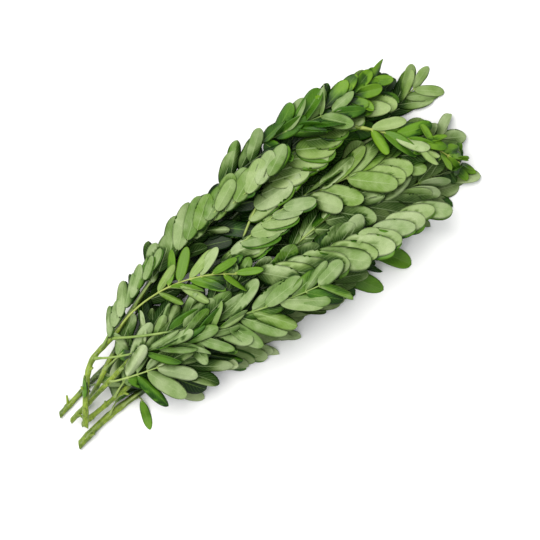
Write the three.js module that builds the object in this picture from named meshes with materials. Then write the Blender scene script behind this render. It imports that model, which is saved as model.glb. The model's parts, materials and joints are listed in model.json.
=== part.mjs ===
// A loose bunch of cut agathi shoots (Sesbania grandiflora) lying on a flat surface.
// Millimetres, +Z up. The shoots lie along X: cut ends towards -X, leaf tips towards +X.
//
// Each shoot is a round tapering stem that carries compound leaves. A compound leaf is a
// rachis with pairs of oblong leaflets. The shoots are laid one on the other, stems and leaves
// in turn, and a height map of the heap says how low each new piece can lie without touching.

import * as THREE from 'three';

// ---- driving dimensions ----

const GAP = 0.35;              // air left between two pieces that rest on each other
const STEM_SIDES = 8;
const FLAT = Math.cos(Math.PI / STEM_SIDES);   // how near a stem's flat sides are, next to its corners
const STEM_STEP = 22;          // from one ring of a stem to the next
const STEM_TAPER = 0.8;        // below 1 a stem loses more of its thickness near its foot
const STEM_SAG = 0.5;          // most that a ring hangs below the line between its neighbours
const CUT_SLANT = 0.7;         // how far the cut runs along the stem, as a share of its radius
const LEAFLET_LENGTH = 29;
const LEAFLET_WIDTH = 9.4;
const RIDGE = 0.7;             // how far a leaflet's midrib stands out of its underside
const PAIR_SPACING = 9.2;      // along the rachis of a full-sized leaf, from one pair to the next
const RACHIS_WIDTH = 1.5;
const RACHIS_HEIGHT = 1.2;
const KNUCKLE = 2;             // length of rachis that a leaflet's foot takes up
const SHINGLE_AIR = 0.35;      // air between neighbouring leaflets of one row, over their ridge
const STEEPEST_SHINGLE = 0.62; // most that a leaflet rolls over its neighbour, as a sine
const LEAF_GREEN = 0x7f9c5a;
const UPPER_GREEN = 0x4d7f2b;
const STEM_GREEN = 0x8fa23c;

// A leaflet's outline as shares of its length and of its half width.
const SHOULDER = { along: 0.42, across: 0.74 };
const WAIST = { along: 0.78, across: 0.86 };
const RIDGE_PEAK = 0.5;

// Along a leaf the pairs swell from the foot and shrink again to the tip, and they turn forwards:
// a leaflet's angle to the rachis is its row's spread plus this fan, more at the foot, less at the
// tip, and it sways a little from pair to pair.
const PAIR_SIZE = { least: 0.78, swell: 0.27, from: 0.18, over: 0.9 };
const SMALLEST_SPACING = 0.25; // pairs never stand closer than this share of PAIR_SPACING
const FAN = { degrees: 8, middle: 0.45 };
const SWAY = { degrees: 5, length: 80 };
const USUAL = { size: 1, spread: [28, 28], droop: 45 };    // for leaves whose entry doesn't say

// The heap's height map: one cell is CELL square.
const CELL = 1;
const HEAP = { west: -210, south: -100, columns: 400, rows: 200 };
const CELL_REACH = 0.8;        // a piece counts for every cell whose middle is this near
const FLATTEST_NORMAL = 0.2;   // a steeper slab than this counts as this steep
const STEEPEST_CLIMB = 2;      // most that a slab climbs inside one cell, as rise over run
const ROD_OVERRUN = 0.5;       // a rod's slab runs this share of its radius beyond its ends
const TINY = 1e-6;

// ---- the shoots ----
//
// A stem follows its route in plan, from its thick cut end to its thin tip.
// A leaf leaves its stem at the X called at, heads aim degrees from +X and turns bend degrees
// by its tip. bare is the length of its petiole. Leaves are listed from the tip of the shoot
// to its foot, which is also the order in which they lie on each other. face says which side
// of the leaflets is seen from above, spread is the angle of the left and of the right row to
// the rachis, size is the leaflets' size as a share of a full one, and droop is how many degrees
// a row may hang. only is the one side (1 left, -1 right) that leaflets lie on: a leaf with many
// pairs is folded there, and each plate stands for a pair lying face to face.

const SHOOTS = [
  {
    name: 'low_side', thick: 5.2, thin: 2.2,
    route: [[-188, -19], [-160, -16.5], [-125, -19], [-85, -24], [-40, -28], [10, -30], [48, -30]],
    leaves: [
      { at: 46, aim: -86, bend: 0, length: 12, bare: 11, face: 'upper', size: 1.15, only: 1 },
      { at: 39, aim: -8, bend: 4, length: 83, bare: 16, face: 'under' },
      { at: 18, aim: -52, bend: 0, length: 6.4, bare: 5.4, face: 'upper', size: 1.15, only: -1 },
      { at: 8, aim: -11, bend: 4, length: 52, bare: 16, face: 'upper', spread: [30, 32] },
      { at: -26, aim: -12, bend: 8, length: 58, bare: 16, face: 'upper', spread: [28, 34] },
      { at: -66, aim: -14, bend: 6, length: 84, bare: 18, face: 'under' },
      { at: -104, aim: -15, bend: -6, length: 72, bare: 18, face: 'under' },
      { at: -117, aim: -42, bend: 0, length: 5.4, bare: 4.4, face: 'under', size: 0.95, only: -1 },
      { at: -126, aim: 20, bend: -30, length: 50, bare: 12, face: 'under', size: 0.68, spread: [32, 28] },
      { at: -136, aim: -80, bend: 0, length: 5.4, bare: 4.4, face: 'upper', size: 0.62, only: -1 },
      { at: -150, aim: 0, bend: -30, length: 104, bare: 34, face: 'under', spread: [36, 36], only: -1 },
      { at: -160, aim: 24, bend: -10, length: 38, bare: 12, face: 'under', size: 0.55 },
    ],
  },
  {
    name: 'middle', thick: 3.9, thin: 2,
    route: [[-185, 5], [-165, 7.5], [-145, 10], [-110, 12], [-60, 14], [0, 13], [60, 10], [98, 8]],
    leaves: [
      { at: 92, aim: 36, bend: -46, length: 54, bare: 10, face: 'under', size: 0.85, spread: [28, 36] },
      { at: 66, aim: 34, bend: -18, length: 58, bare: 14, face: 'upper', size: 0.7 },
      { at: 50, aim: -16, bend: 2, length: 80, bare: 16, face: 'under', spread: [28, 34] },
      { at: 14, aim: 32, bend: -26, length: 84, bare: 18, face: 'under', spread: [26, 32] },
      { at: -28, aim: -14, bend: 6, length: 98, bare: 18, face: 'under' },
      { at: -70, aim: 26, bend: -20, length: 92, bare: 20, face: 'upper' },
      { at: -132, aim: -22, bend: 16, length: 52, bare: 12, face: 'under', size: 0.72, spread: [28, 34] },
      { at: -150, aim: -10, bend: 0, length: 84, bare: 16, face: 'under', size: 0.75, spread: [34, 28] },
      { at: -158, aim: -24, bend: 6, length: 44, bare: 12, face: 'upper', size: 0.62 },
    ],
  },
  {
    name: 'near_side', thick: 3.6, thin: 1.8,
    route: [[-177, -9.5], [-160, -9.5], [-140, -10], [-110, -9], [-60, -9], [0, -10], [60, -13],
      [100, -15]],
    leaves: [
      { at: 96, aim: -26, bend: -20, length: 46, bare: 12, face: 'upper', size: 0.55, spread: [32, 32] },
      { at: 76, aim: 2, bend: -8, length: 56, bare: 12, face: 'under', size: 0.9, spread: [26, 32] },
      { at: 40, aim: -20, bend: 8, length: 76, bare: 16, face: 'under', spread: [28, 34] },
      { at: -6, aim: 4, bend: -8, length: 84, bare: 14, face: 'under' },
      { at: -52, aim: -18, bend: 10, length: 92, bare: 18, face: 'under' },
      { at: -104, aim: -16, bend: 4, length: 82, bare: 18, face: 'upper', size: 0.85 },
      { at: -128, aim: -30, bend: 24, length: 54, bare: 14, face: 'upper', size: 0.72, spread: [28, 34] },
      { at: -148, aim: 18, bend: -8, length: 48, bare: 14, face: 'under', size: 0.65, spread: [34, 28] },
    ],
  },
  {
    name: 'far', thick: 3.6, thin: 1.8,
    route: [[-170, -2], [-150, 4], [-125, 15], [-90, 24], [-40, 30], [10, 34], [56, 38]],
    leaves: [
      { at: 44, aim: -2, bend: -6, length: 66, bare: 14, face: 'upper' },
      { at: 8, aim: 22, bend: -34, length: 76, bare: 14, face: 'upper' },
      { at: -58, aim: 20, bend: -26, length: 94, bare: 16, face: 'upper' },
      { at: -112, aim: 26, bend: -22, length: 88, bare: 14, face: 'under', size: 0.9, spread: [26, 30] },
      { at: -140, aim: 6, bend: -14, length: 56, bare: 14, face: 'under', size: 0.72 },
    ],
  },
  {
    name: 'heart', thick: 3.6, thin: 1.8,
    route: [[-180, -3], [-150, 0], [-110, 4], [-60, 8], [-20, 11], [24, 17], [62, 22]],
    leaves: [
      { at: 22, aim: -18, bend: 2, length: 88, bare: 16, face: 'under', size: 1.05, spread: [26, 34] },
      { at: -22, aim: 36, bend: -46, length: 116, bare: 26, face: 'under', spread: [34, 34], only: -1 },
      { at: -48, aim: -32, bend: 26, length: 154, bare: 34, face: 'under', size: 1.12, spread: [28, 28],
        only: -1 },
      { at: -74, aim: 12, bend: -16, length: 104, bare: 24, face: 'under', spread: [30, 30], only: -1 },
      { at: -124, aim: -8, bend: 8, length: 96, bare: 20, face: 'under', size: 0.8 },
      { at: -132, aim: -4, bend: -12, length: 46, bare: 12, face: 'under', size: 0.65, spread: [28, 34] },
      { at: -142, aim: -26, bend: 10, length: 50, bare: 14, face: 'under', size: 0.65, spread: [28, 34] },
    ],
  },
  {
    name: 'far_edge', thick: 4, thin: 1.8,
    route: [[-173, -12], [-159, 4], [-141, 19], [-115, 23], [-80, 34], [-40, 46], [0, 54],
      [34, 60], [60, 57], [82, 40], [97, 16], [110, 6]],
    leaves: [
      { at: 107, aim: -58, bend: -14, length: 52, bare: 24, face: 'upper', size: 0.5, spread: [34, 34] },
      { at: 92, aim: -50, bend: -12, length: 44, bare: 8, face: 'upper', size: 0.85 },
      { at: 79, aim: -6, bend: -14, length: 38, bare: 7, face: 'upper', size: 0.9, spread: [30, 32] },
      { at: 56, aim: -26, bend: 26, length: 66, bare: 14, face: 'upper', size: 0.7 },
      { at: 28, aim: -14, bend: -6, length: 62, bare: 10, face: 'under', size: 0.85 },
      { at: -14, aim: 4, bend: -10, length: 52, bare: 12, face: 'under', size: 0.85 },
      { at: -70, aim: 3, bend: -6, length: 104, bare: 16, face: 'under', spread: [28, 28], only: 1 },
      { at: -98, aim: 18, bend: -18, length: 88, bare: 14, face: 'under', spread: [28, 28], only: 1 },
      { at: -122, aim: -36, bend: 22, length: 150, bare: 40, face: 'under', spread: [26, 34] },
      { at: -131, aim: 26, bend: -18, length: 70, bare: 12, face: 'under', size: 0.75, only: 1 },
      { at: -140, aim: -33, bend: 16, length: 92, bare: 36, face: 'under', size: 0.9, spread: [26, 30] },
      { at: -116, aim: 14, bend: -58, length: 92, bare: 38, face: 'upper', size: 0.75, spread: [32, 40],
        droop: 22 },
      { at: -153, aim: 75, bend: 0, length: 5.4, bare: 4.4, face: 'upper', size: 0.5, only: 1 },
    ],
  },
];

// ---- the heap's height map ----

const tops = new Float64Array(HEAP.columns * HEAP.rows).fill(-GAP);

// Calls visit(cell, x, y) for each cell near the convex outline [[x, y], ...].
function eachCell(outline, visit) {
  const turn = Math.sign(THREE.ShapeUtils.area(outline.map(([x, y]) => ({ x, y }))));
  const edges = [];
  outline.forEach(([x, y], i) => {
    const [u, v] = outline[(i + 1) % outline.length];
    const length = Math.hypot(u - x, v - y);
    const nx = (turn * (v - y)) / length;
    const ny = (turn * (x - u)) / length;
    if (length > TINY) edges.push({ nx, ny, reach: CELL_REACH + x * nx + y * ny });
  });
  const xs = outline.map(([x]) => x);
  const ys = outline.map(([, y]) => y);
  const west = Math.max(0, Math.floor((Math.min(...xs) - CELL_REACH - HEAP.west) / CELL));
  const east = Math.min(HEAP.columns - 1, Math.ceil((Math.max(...xs) + CELL_REACH - HEAP.west) / CELL));
  const south = Math.max(0, Math.floor((Math.min(...ys) - CELL_REACH - HEAP.south) / CELL));
  const north = Math.min(HEAP.rows - 1, Math.ceil((Math.max(...ys) + CELL_REACH - HEAP.south) / CELL));
  for (let i = west; i <= east; i++) {
    const x = HEAP.west + (i + 0.5) * CELL;
    for (let j = south; j <= north; j++) {
      const y = HEAP.south + (j + 0.5) * CELL;
      if (edges.every(({ nx, ny, reach }) => x * nx + y * ny <= reach)) visit(i * HEAP.rows + j, x, y);
    }
  }
}

// A slab is a flat piece of leaf or a length of stem as the heap sees it: its outline in plan,
// a plane through it, and how far it reaches below and above that plane.
function slab(points, normal, below, above) {
  const upright = normal.z < 0 ? normal.clone().negate() : normal;
  const middle = points.reduce((sum, p) => sum.add(p), new THREE.Vector3()).divideScalar(points.length);
  const steep = Math.max(upright.z, FLATTEST_NORMAL);
  const zs = points.map((p) => p.z);
  const low = Math.min(...zs);
  const high = Math.max(...zs);
  const at = (x, y) => {
    const z = middle.z - ((x - middle.x) * upright.x + (y - middle.y) * upright.y) / steep;
    return THREE.MathUtils.clamp(z, low, high);
  };
  // from the middle of a cell to its edge a tilted slab climbs by this much
  const climb = (CELL / 2) * Math.min(STEEPEST_CLIMB, Math.hypot(upright.x, upright.y) / steep);
  return { outline: points.map((p) => [p.x, p.y]), at, below: below + climb, above: above + climb };
}

// How far the slabs have to be lifted to lie on the heap.
function liftOf(slabs) {
  let lift = -Infinity;
  for (const s of slabs) {
    eachCell(s.outline, (cell, x, y) => {
      lift = Math.max(lift, tops[cell] + GAP - (s.at(x, y) - s.below));
    });
  }
  return lift;
}

function addToHeap(slabs, lift) {
  for (const s of slabs) {
    eachCell(s.outline, (cell, x, y) => {
      tops[cell] = Math.max(tops[cell], s.at(x, y) + s.above + lift);
    });
  }
}

// ---- closed meshes from loops ----

// Collects points and flat faces, and turns them into one geometry.
class Shell {
  constructor() {
    this.points = [];
    this.triangles = [];
  }

  point(p) {
    this.points.push(p);
    return this.points.length - 1;
  }

  // a convex face, counter-clockwise as seen from outside
  face(...corners) {
    for (let i = 1; i + 1 < corners.length; i++) {
      this.triangles.push(corners[0], corners[i], corners[i + 1]);
    }
  }

  geometry() {
    const flat = this.triangles.flatMap((i) => this.points[i].toArray());
    const geometry = new THREE.BufferGeometry();
    geometry.setAttribute('position', new THREE.Float32BufferAttribute(flat, 3));
    geometry.computeVertexNormals();
    return geometry;
  }
}

// ---- stems ----

function stemMaterial() {
  return new THREE.MeshStandardMaterial({ color: STEM_GREEN, roughness: 0.6, metalness: 0 });
}

const HALF_WAY = 0.55;         // a ring answers for the stem a little over half way to the next one
const SAG_ROUNDS = 400;        // enough for every ring to settle

// A stem is laid along its route: it lies on the heap, and bends no more than a fresh shoot does.
function layStem({ route, thick, thin }) {
  const curve = new THREE.CatmullRomCurve3(route.map(([x, y]) => new THREE.Vector3(x, y, 0)));
  const steps = Math.round(curve.getLength() / STEM_STEP);
  const flat = Array.from({ length: steps + 1 }, (_, i) => curve.getPointAt(i / steps));
  const radii = flat.map((_, i) => THREE.MathUtils.lerp(thick, thin, (i / steps) ** STEM_TAPER) / 2);
  const z = flat.map((p, i) => {
    const near = flat.slice(Math.max(0, i - 1), i + 2);
    const lifts = near.map((q) => liftOf([rod(p, p.clone().lerp(q, HALF_WAY), radii[i])]));
    return Math.max(...lifts, radii[i] * FLAT);
  });
  for (let round = 0; round < SAG_ROUNDS; round++) {
    for (let i = 1; i < z.length - 1; i++) {
      z[i] = Math.max(z[i], (z[i - 1] + z[i + 1]) / 2 - STEM_SAG);
    }
  }
  const line = flat.map((p, i) => new THREE.Vector3(p.x, p.y, z[i]));
  for (let i = 0; i < line.length - 1; i++) {
    addToHeap([rod(line[i], line[i + 1], Math.max(radii[i], radii[i + 1]))], 0);
  }
  return { line, radii };
}

// The slab of a straight length of stem or rachis.
function rod(from, to, radius) {
  const along = to.clone().sub(from);
  const isPoint = along.lengthSq() < TINY;
  const side = isPoint ? new THREE.Vector3(0, 1, 0) : new THREE.Vector3(-along.y, along.x, 0).normalize();
  const ahead = new THREE.Vector3(side.y, -side.x, 0).multiplyScalar(radius * ROD_OVERRUN);
  const wide = side.clone().multiplyScalar(radius);
  const corners = [
    from.clone().sub(ahead).add(wide), from.clone().sub(ahead).sub(wide),
    to.clone().add(ahead).sub(wide), to.clone().add(ahead).add(wide),
  ];
  const normal = isPoint ? new THREE.Vector3(0, 0, 1) : side.clone().cross(along).normalize();
  return slab(corners, normal, radius * FLAT, radius * FLAT);
}

// Rings of eight around the line, with a flat side underneath, and a slanting cut at the foot.
function stemMesh(name, { line, radii }) {
  const shell = new Shell();
  const rings = line.map((p, i) => {
    const before = line[Math.max(i - 1, 0)];
    const after = line[Math.min(i + 1, line.length - 1)];
    const ahead = after.clone().sub(before).setZ(0).normalize();
    const side = new THREE.Vector3(-ahead.y, ahead.x, 0);
    return Array.from({ length: STEM_SIDES }, (_, k) => {
      const angle = (2 * Math.PI * (k + 0.5)) / STEM_SIDES;
      const slant = i === 0 ? Math.cos(angle) * radii[0] * CUT_SLANT : 0;
      return shell.point(p.clone()
        .addScaledVector(side, Math.cos(angle) * radii[i])
        .addScaledVector(ahead, slant)
        .add(new THREE.Vector3(0, 0, Math.sin(angle) * radii[i])));
    });
  });
  for (let i = 0; i < rings.length - 1; i++) {
    for (let k = 0; k < STEM_SIDES; k++) {
      const next = (k + 1) % STEM_SIDES;
      shell.face(rings[i][k], rings[i][next], rings[i + 1][next], rings[i + 1][k]);
    }
  }
  shell.face(...rings[0].slice().reverse());
  shell.face(...rings.at(-1));
  return named(name, shell, stemMaterial());
}

function named(name, shell, material) {
  const mesh = new THREE.Mesh(shell.geometry(), material);
  mesh.name = name;
  return mesh;
}

// ---- compound leaves ----

const ROW_PITCHES = [-45, -34, -25, -17, -10, -3, 4, 12, 20];    // degrees, down is negative
const SLOPES = [-0.4, -0.25, -0.12, 0, 0.12, 0.25, 0.4, 0.55];    // rise over run at the first pair
const BENDS = [-0.6, -0.42, -0.28, -0.16, -0.06, 0.06];           // rise added by the tip, over the length
const PETIOLE_STATIONS = [0, 0.35, 0.7, 1];                       // shares of its length where it may bend
const BEND_REACH = 0.2;                                           // share either side that bends too
const STEEPEST_PETIOLE = 0.9;                                     // rise over run
const FRAME_STEP = 1;                                             // a direction is taken over this length
const PLAN_STEPS = 24;                                            // straight steps that sum a bent rachis

// What a resting place costs: each weight is for a millimetre, and STEEP for a petiole's slope.
const COST = { rowMiddle: 1 / 2, top: 1 / 3, steep: 60 };

function sidesOf(leaf) {
  return leaf.only ? [leaf.only] : [1, -1];
}

function spacingOf(leaf) {
  return PAIR_SPACING * THREE.MathUtils.lerp(SMALLEST_SPACING, 1, leaf.size);
}

// Where the pairs of leaflets stand along the rachis, and how large each pair is.
function pairsOf(leaf) {
  const spacing = spacingOf(leaf);
  const count = Math.floor((leaf.length - leaf.bare) / spacing) + 1;
  return Array.from({ length: count }, (_, i) => {
    const share = count > 1 ? i / (count - 1) : 0;
    const swell = Math.sin(Math.PI * Math.min(1, PAIR_SIZE.from + share * PAIR_SIZE.over));
    const size = leaf.size * (PAIR_SIZE.least + PAIR_SIZE.swell * swell);
    return { s: leaf.bare + i * spacing, share, size };
  });
}

// The rachis in plan: its heading changes evenly from the petiole's foot to the tip.
function planPoint(leaf, s) {
  const p = leaf.foot.clone();
  for (let i = 0; i < PLAN_STEPS; i++) {
    const turn = leaf.bend * ((i + 0.5) / PLAN_STEPS) * (s / leaf.length);
    const heading = THREE.MathUtils.degToRad(leaf.aim + turn);
    p.x += (Math.cos(heading) * s) / PLAN_STEPS;
    p.y += (Math.sin(heading) * s) / PLAN_STEPS;
  }
  return p;
}

// The frame of the rachis at s: where it is, its direction, its left side and its upper side.
function frameAt(leaf, s, height) {
  const p = planPoint(leaf, s).setZ(height(s));
  const next = s + FRAME_STEP;
  const ahead = planPoint(leaf, next).setZ(height(next)).sub(p).normalize();
  const left = new THREE.Vector3(-ahead.y, ahead.x, 0).normalize();
  return { p, ahead, left, up: ahead.clone().cross(left) };
}

// Two vectors square to each other, both turned from the first one towards the second.
function turned(first, second, angle) {
  return [
    first.clone().multiplyScalar(Math.cos(angle)).addScaledVector(second, Math.sin(angle)),
    second.clone().multiplyScalar(Math.cos(angle)).addScaledVector(first, -Math.sin(angle)),
  ];
}

// One leaflet of the row on the given side (1 left, -1 right): its outline and its upper normal.
function leaflet(leaf, frame, pair, side, pitch) {
  const spread = THREE.MathUtils.degToRad(leaf.spread[side > 0 ? 0 : 1]
    + FAN.degrees * (FAN.middle - pair.share)
    + SWAY.degrees * Math.sin((2 * Math.PI * pair.s) / SWAY.length + leaf.at + side));
  const tilt = THREE.MathUtils.degToRad(pitch);
  const [out, over] = turned(frame.left.clone().multiplyScalar(side), frame.up, tilt);
  const [across, along] = turned(out.clone().negate(), frame.ahead, spread);
  const apart = spacingOf(leaf) * Math.sin(spread);
  const ridge = RIDGE * pair.size;
  const shingled = Math.asin(Math.min(STEEPEST_SHINGLE, (ridge + SHINGLE_AIR) / apart));
  const [edge, normal] = turned(across, over, leaf.pairs.length > 1 ? leaf.shingle * shingled : 0);
  const root = frame.p.clone().addScaledVector(frame.left, (side * RACHIS_WIDTH) / 2);
  const length = LEAFLET_LENGTH * pair.size;
  const half = (LEAFLET_WIDTH * pair.size) / 2;
  const at = (l, a) => root.clone().addScaledVector(along, l * length).addScaledVector(edge, a * half);
  return {
    outline: [
      at(SHOULDER.along, -SHOULDER.across), at(WAIST.along, -WAIST.across), at(1, 0),
      at(WAIST.along, WAIST.across), at(SHOULDER.along, SHOULDER.across),
    ],
    peak: at(RIDGE_PEAK, 0).addScaledVector(normal, leaf.face === 'upper' ? -ridge : ridge),
    root,
    normal,
    ridge,
  };
}

function leafletSlab(leaf, piece) {
  const half = RACHIS_HEIGHT / 2;
  const under = leaf.face === 'upper' ? piece.ridge : 0;
  const above = leaf.face === 'upper' ? 0 : piece.ridge;
  return [
    slab(piece.outline, piece.normal, under, above),
    slab([piece.root, piece.outline[0], piece.outline.at(-1)], piece.normal, half, half),
  ];
}

// Where a row of leaflets hangs lowest: walks through the pitches, and stops when it gets worse.
function restRow(leaf, frames, side, spineLift) {
  let best = { cost: Infinity };
  for (const pitch of ROW_PITCHES.filter((degrees) => degrees >= -leaf.droop)) {
    const pieces = leaf.pairs.map((pair, i) => leaflet(leaf, frames[i], pair, side, pitch));
    const lift = Math.max(spineLift, liftOf(pieces.flatMap((piece) => leafletSlab(leaf, piece))));
    const middle = pieces.reduce((sum, piece) => sum + piece.peak.z, 0) / pieces.length;
    const cost = lift + middle * COST.rowMiddle;
    if (cost > best.cost) break;
    best = { cost, pitch, lift, middle };
  }
  return best;
}

// Finds how the leaf lies: the slope and bend of its rachis and the droop of its two rows that
// bring it lowest on the heap. On a rachis that bends down each leaflet lies over the next one
// towards the tip, and on one that bends up it lies under it, so that they never cut each other.
function layLeaf(plan) {
  const pairs = pairsOf(plan);
  const reach = Math.max(pairs.at(-1).s - plan.bare, 1);
  let best = { cost: Infinity };
  for (const slope of SLOPES) {
    for (const bend of BENDS) {
      const leaf = { ...plan, pairs, shingle: bend > 0 ? -1 : 1 };
      const rise = (s) => slope * (s - leaf.bare) + (bend * (s - leaf.bare) ** 2) / reach;
      const frames = pairs.map(({ s }) => frameAt(leaf, s, rise));
      const knots = [frameAt(leaf, petioleLength(leaf), rise), ...frames].map((frame) => frame.p);
      const spine = knots.slice(1).map((p, i) => rod(knots[i], p, RACHIS_HEIGHT / 2));
      const spineLift = liftOf(spine);
      const rows = sidesOf(leaf).map((side) => restRow(leaf, frames, side, spineLift));
      const lift = Math.max(...rows.map((row) => row.lift));
      const climb = Math.max(0, Math.abs(lift - leaf.foot.z) / leaf.bare - STEEPEST_PETIOLE);
      const top = lift + Math.max(...frames.map((f) => f.p.z));
      const middles = (rows[0].middle + rows.at(-1).middle) * COST.rowMiddle;
      const cost = lift + middles + top * COST.top + climb * COST.steep;
      if (cost < best.cost) best = { cost, leaf, rise, lift, pitches: rows.map((row) => row.pitch) };
    }
  }
  const { leaf, rise, lift, pitches } = best;
  const petiole = petioleHeights(leaf, lift + rise(petioleLength(leaf)));
  const height = (s) => (s >= petioleLength(leaf) ? lift + rise(s) : petiole(s));
  return { ...leaf, height, pitches };
}

// The petiole runs up to the knuckle of the first pair.
function petioleLength(leaf) {
  return leaf.bare - KNUCKLE / 2;
}

// The petiole rises or sinks from its foot to the blade, and bends over what lies in its way.
function petioleHeights(leaf, bladeStart) {
  const length = petioleLength(leaf);
  const heights = PETIOLE_STATIONS.map((share) => {
    const ease = THREE.MathUtils.lerp(leaf.foot.z, bladeStart, Math.sin((Math.PI / 2) * share));
    if (share === 0 || share === 1) return ease;
    const ends = [share - BEND_REACH, share + BEND_REACH];
    const [from, to] = ends.map((end) => planPoint(leaf, length * end).setZ(0));
    return Math.max(ease, liftOf([rod(from, to, RACHIS_HEIGHT / 2)]));
  });
  return (s) => {
    const share = THREE.MathUtils.clamp(s / length, 0, 1);
    const i = Math.max(0, PETIOLE_STATIONS.findIndex((end) => end >= share) - 1);
    const [from, to] = PETIOLE_STATIONS.slice(i, i + 2);
    return THREE.MathUtils.lerp(heights[i], heights[i + 1], (share - from) / (to - from));
  };
}

// The leaf as one closed shell: a square-cut rachis whose side faces at each knuckle are the
// feet of that pair's leaflets.
function leafShell(leaf) {
  const shell = new Shell();
  const slabs = [];
  const lower = leaf.face === 'upper';
  const ring = (s) => {
    const { p, left, up } = frameAt(leaf, s, leaf.height);
    const corner = (side, height) => shell.point(p.clone()
      .addScaledVector(left, (side * RACHIS_WIDTH) / 2)
      .addScaledVector(up, (height * RACHIS_HEIGHT) / 2));
    return {
      p,
      left: { top: corner(1, 1), low: corner(1, -1) },
      right: { top: corner(-1, 1), low: corner(-1, -1) },
    };
  };
  const beam = (a, b, bareSides) => {
    shell.face(a.left.top, a.right.top, b.right.top, b.left.top);
    shell.face(a.right.low, a.left.low, b.left.low, b.right.low);
    if (bareSides.includes(1)) shell.face(a.left.low, a.left.top, b.left.top, b.left.low);
    if (bareSides.includes(-1)) shell.face(a.right.top, a.right.low, b.right.low, b.right.top);
    slabs.push(rod(a.p, b.p, RACHIS_HEIGHT / 2));
  };
  const blade = (a, b, piece, side) => {
    const key = side > 0 ? 'left' : 'right';
    const [back, backWaist, tip, frontWaist, front] = piece.outline.map((p) => shell.point(p));
    const peak = shell.point(piece.peak);
    const flat = lower ? 'top' : 'low';
    const ridged = lower ? 'low' : 'top';
    // the walk from the back of the foot round the tip to its front is clockwise on a left
    // leaflet as seen from above, and the other way on a right one
    const clockwise = (side > 0) === lower;
    const put = (...corners) => shell.face(...(clockwise ? corners.reverse() : corners));
    put(back, backWaist, tip, frontWaist, front);
    put(a[key][flat], back, front, b[key][flat]);
    const rim = [a[key][ridged], back, backWaist, tip, frontWaist, front, b[key][ridged]];
    rim.forEach((corner, i) => put(rim[(i + 1) % rim.length], corner, peak));
    put(a[key][ridged], back, a[key][flat]);
    put(b[key][flat], front, b[key][ridged]);
    slabs.push(...leafletSlab(leaf, piece));
  };

  const start = ring(0);
  let last = start;
  for (const share of PETIOLE_STATIONS.slice(1, -1)) {
    const next = ring(petioleLength(leaf) * share);
    beam(last, next, [1, -1]);
    last = next;
  }
  for (const pair of leaf.pairs) {
    const a = ring(pair.s - KNUCKLE / 2);
    const b = ring(pair.s + KNUCKLE / 2);
    beam(last, a, [1, -1]);
    beam(a, b, [1, -1].filter((side) => !sidesOf(leaf).includes(side)));
    const frame = frameAt(leaf, pair.s, leaf.height);
    sidesOf(leaf).forEach((side, row) => {
      blade(a, b, leaflet(leaf, frame, pair, side, leaf.pitches[row]), side);
    });
    last = b;
  }
  shell.face(start.left.low, start.right.low, start.right.top, start.left.top);
  shell.face(last.left.top, last.right.top, last.right.low, last.left.low);
  return { shell, slabs };
}

function leafMaterial(leaf) {
  const color = leaf.face === 'upper' ? UPPER_GREEN : LEAF_GREEN;
  return new THREE.MeshStandardMaterial({ color, roughness: 0.62, metalness: 0 });
}

// The point of a stem's line at this X, and its radius there.
function stemAt({ line, radii }, x) {
  const i = line.findIndex((p, k) => k + 1 < line.length && line[k + 1].x >= x);
  const from = line[i];
  const to = line[i + 1];
  const share = (x - from.x) / (to.x - from.x);
  return { p: from.clone().lerp(to, share), radius: THREE.MathUtils.lerp(radii[i], radii[i + 1], share) };
}

// ---- building the bunch ----

function shootMeshes(shoot) {
  const stem = layStem(shoot);
  const meshes = [stemMesh(`${shoot.name}_stem`, stem)];
  shoot.leaves.forEach((plan, i) => {
    const { p, radius } = stemAt(stem, plan.at);
    const foot = p.clone().add(new THREE.Vector3(0, 0, radius + GAP + RACHIS_HEIGHT));
    const leaf = layLeaf({ ...USUAL, ...plan, foot });
    const { shell, slabs } = leafShell(leaf);
    addToHeap(slabs, 0);
    meshes.push(named(`${shoot.name}_leaf_${i + 1}`, shell, leafMaterial(leaf)));
  });
  return meshes;
}

function makeBunch() {
  const bunch = new THREE.Group();
  SHOOTS.forEach((shoot) => bunch.add(...shootMeshes(shoot)));
  const box = new THREE.Box3().setFromObject(bunch);
  const middle = box.getCenter(new THREE.Vector3());
  const centred = new THREE.Group();
  bunch.position.set(-middle.x, -middle.y, -box.min.z);
  centred.add(bunch);
  return centred;
}

const bunch = makeBunch();

export default bunch;
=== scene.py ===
# %% [markdown]
# # A loose bunch of cut agathi shoots
# The real object is a handful of leafy shoots, cut off a young tree and laid down: round green
# stems, and on them long compound leaves, each a thin stalk with pairs of oblong leaflets.
# The frame gives a plain solid for each stem and each compound leaf. This lesson reads off those
# solids where every leaflet lies, and grows the real surfaces in the same places.

# %% Load the frame
import json
import math
import random

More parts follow.
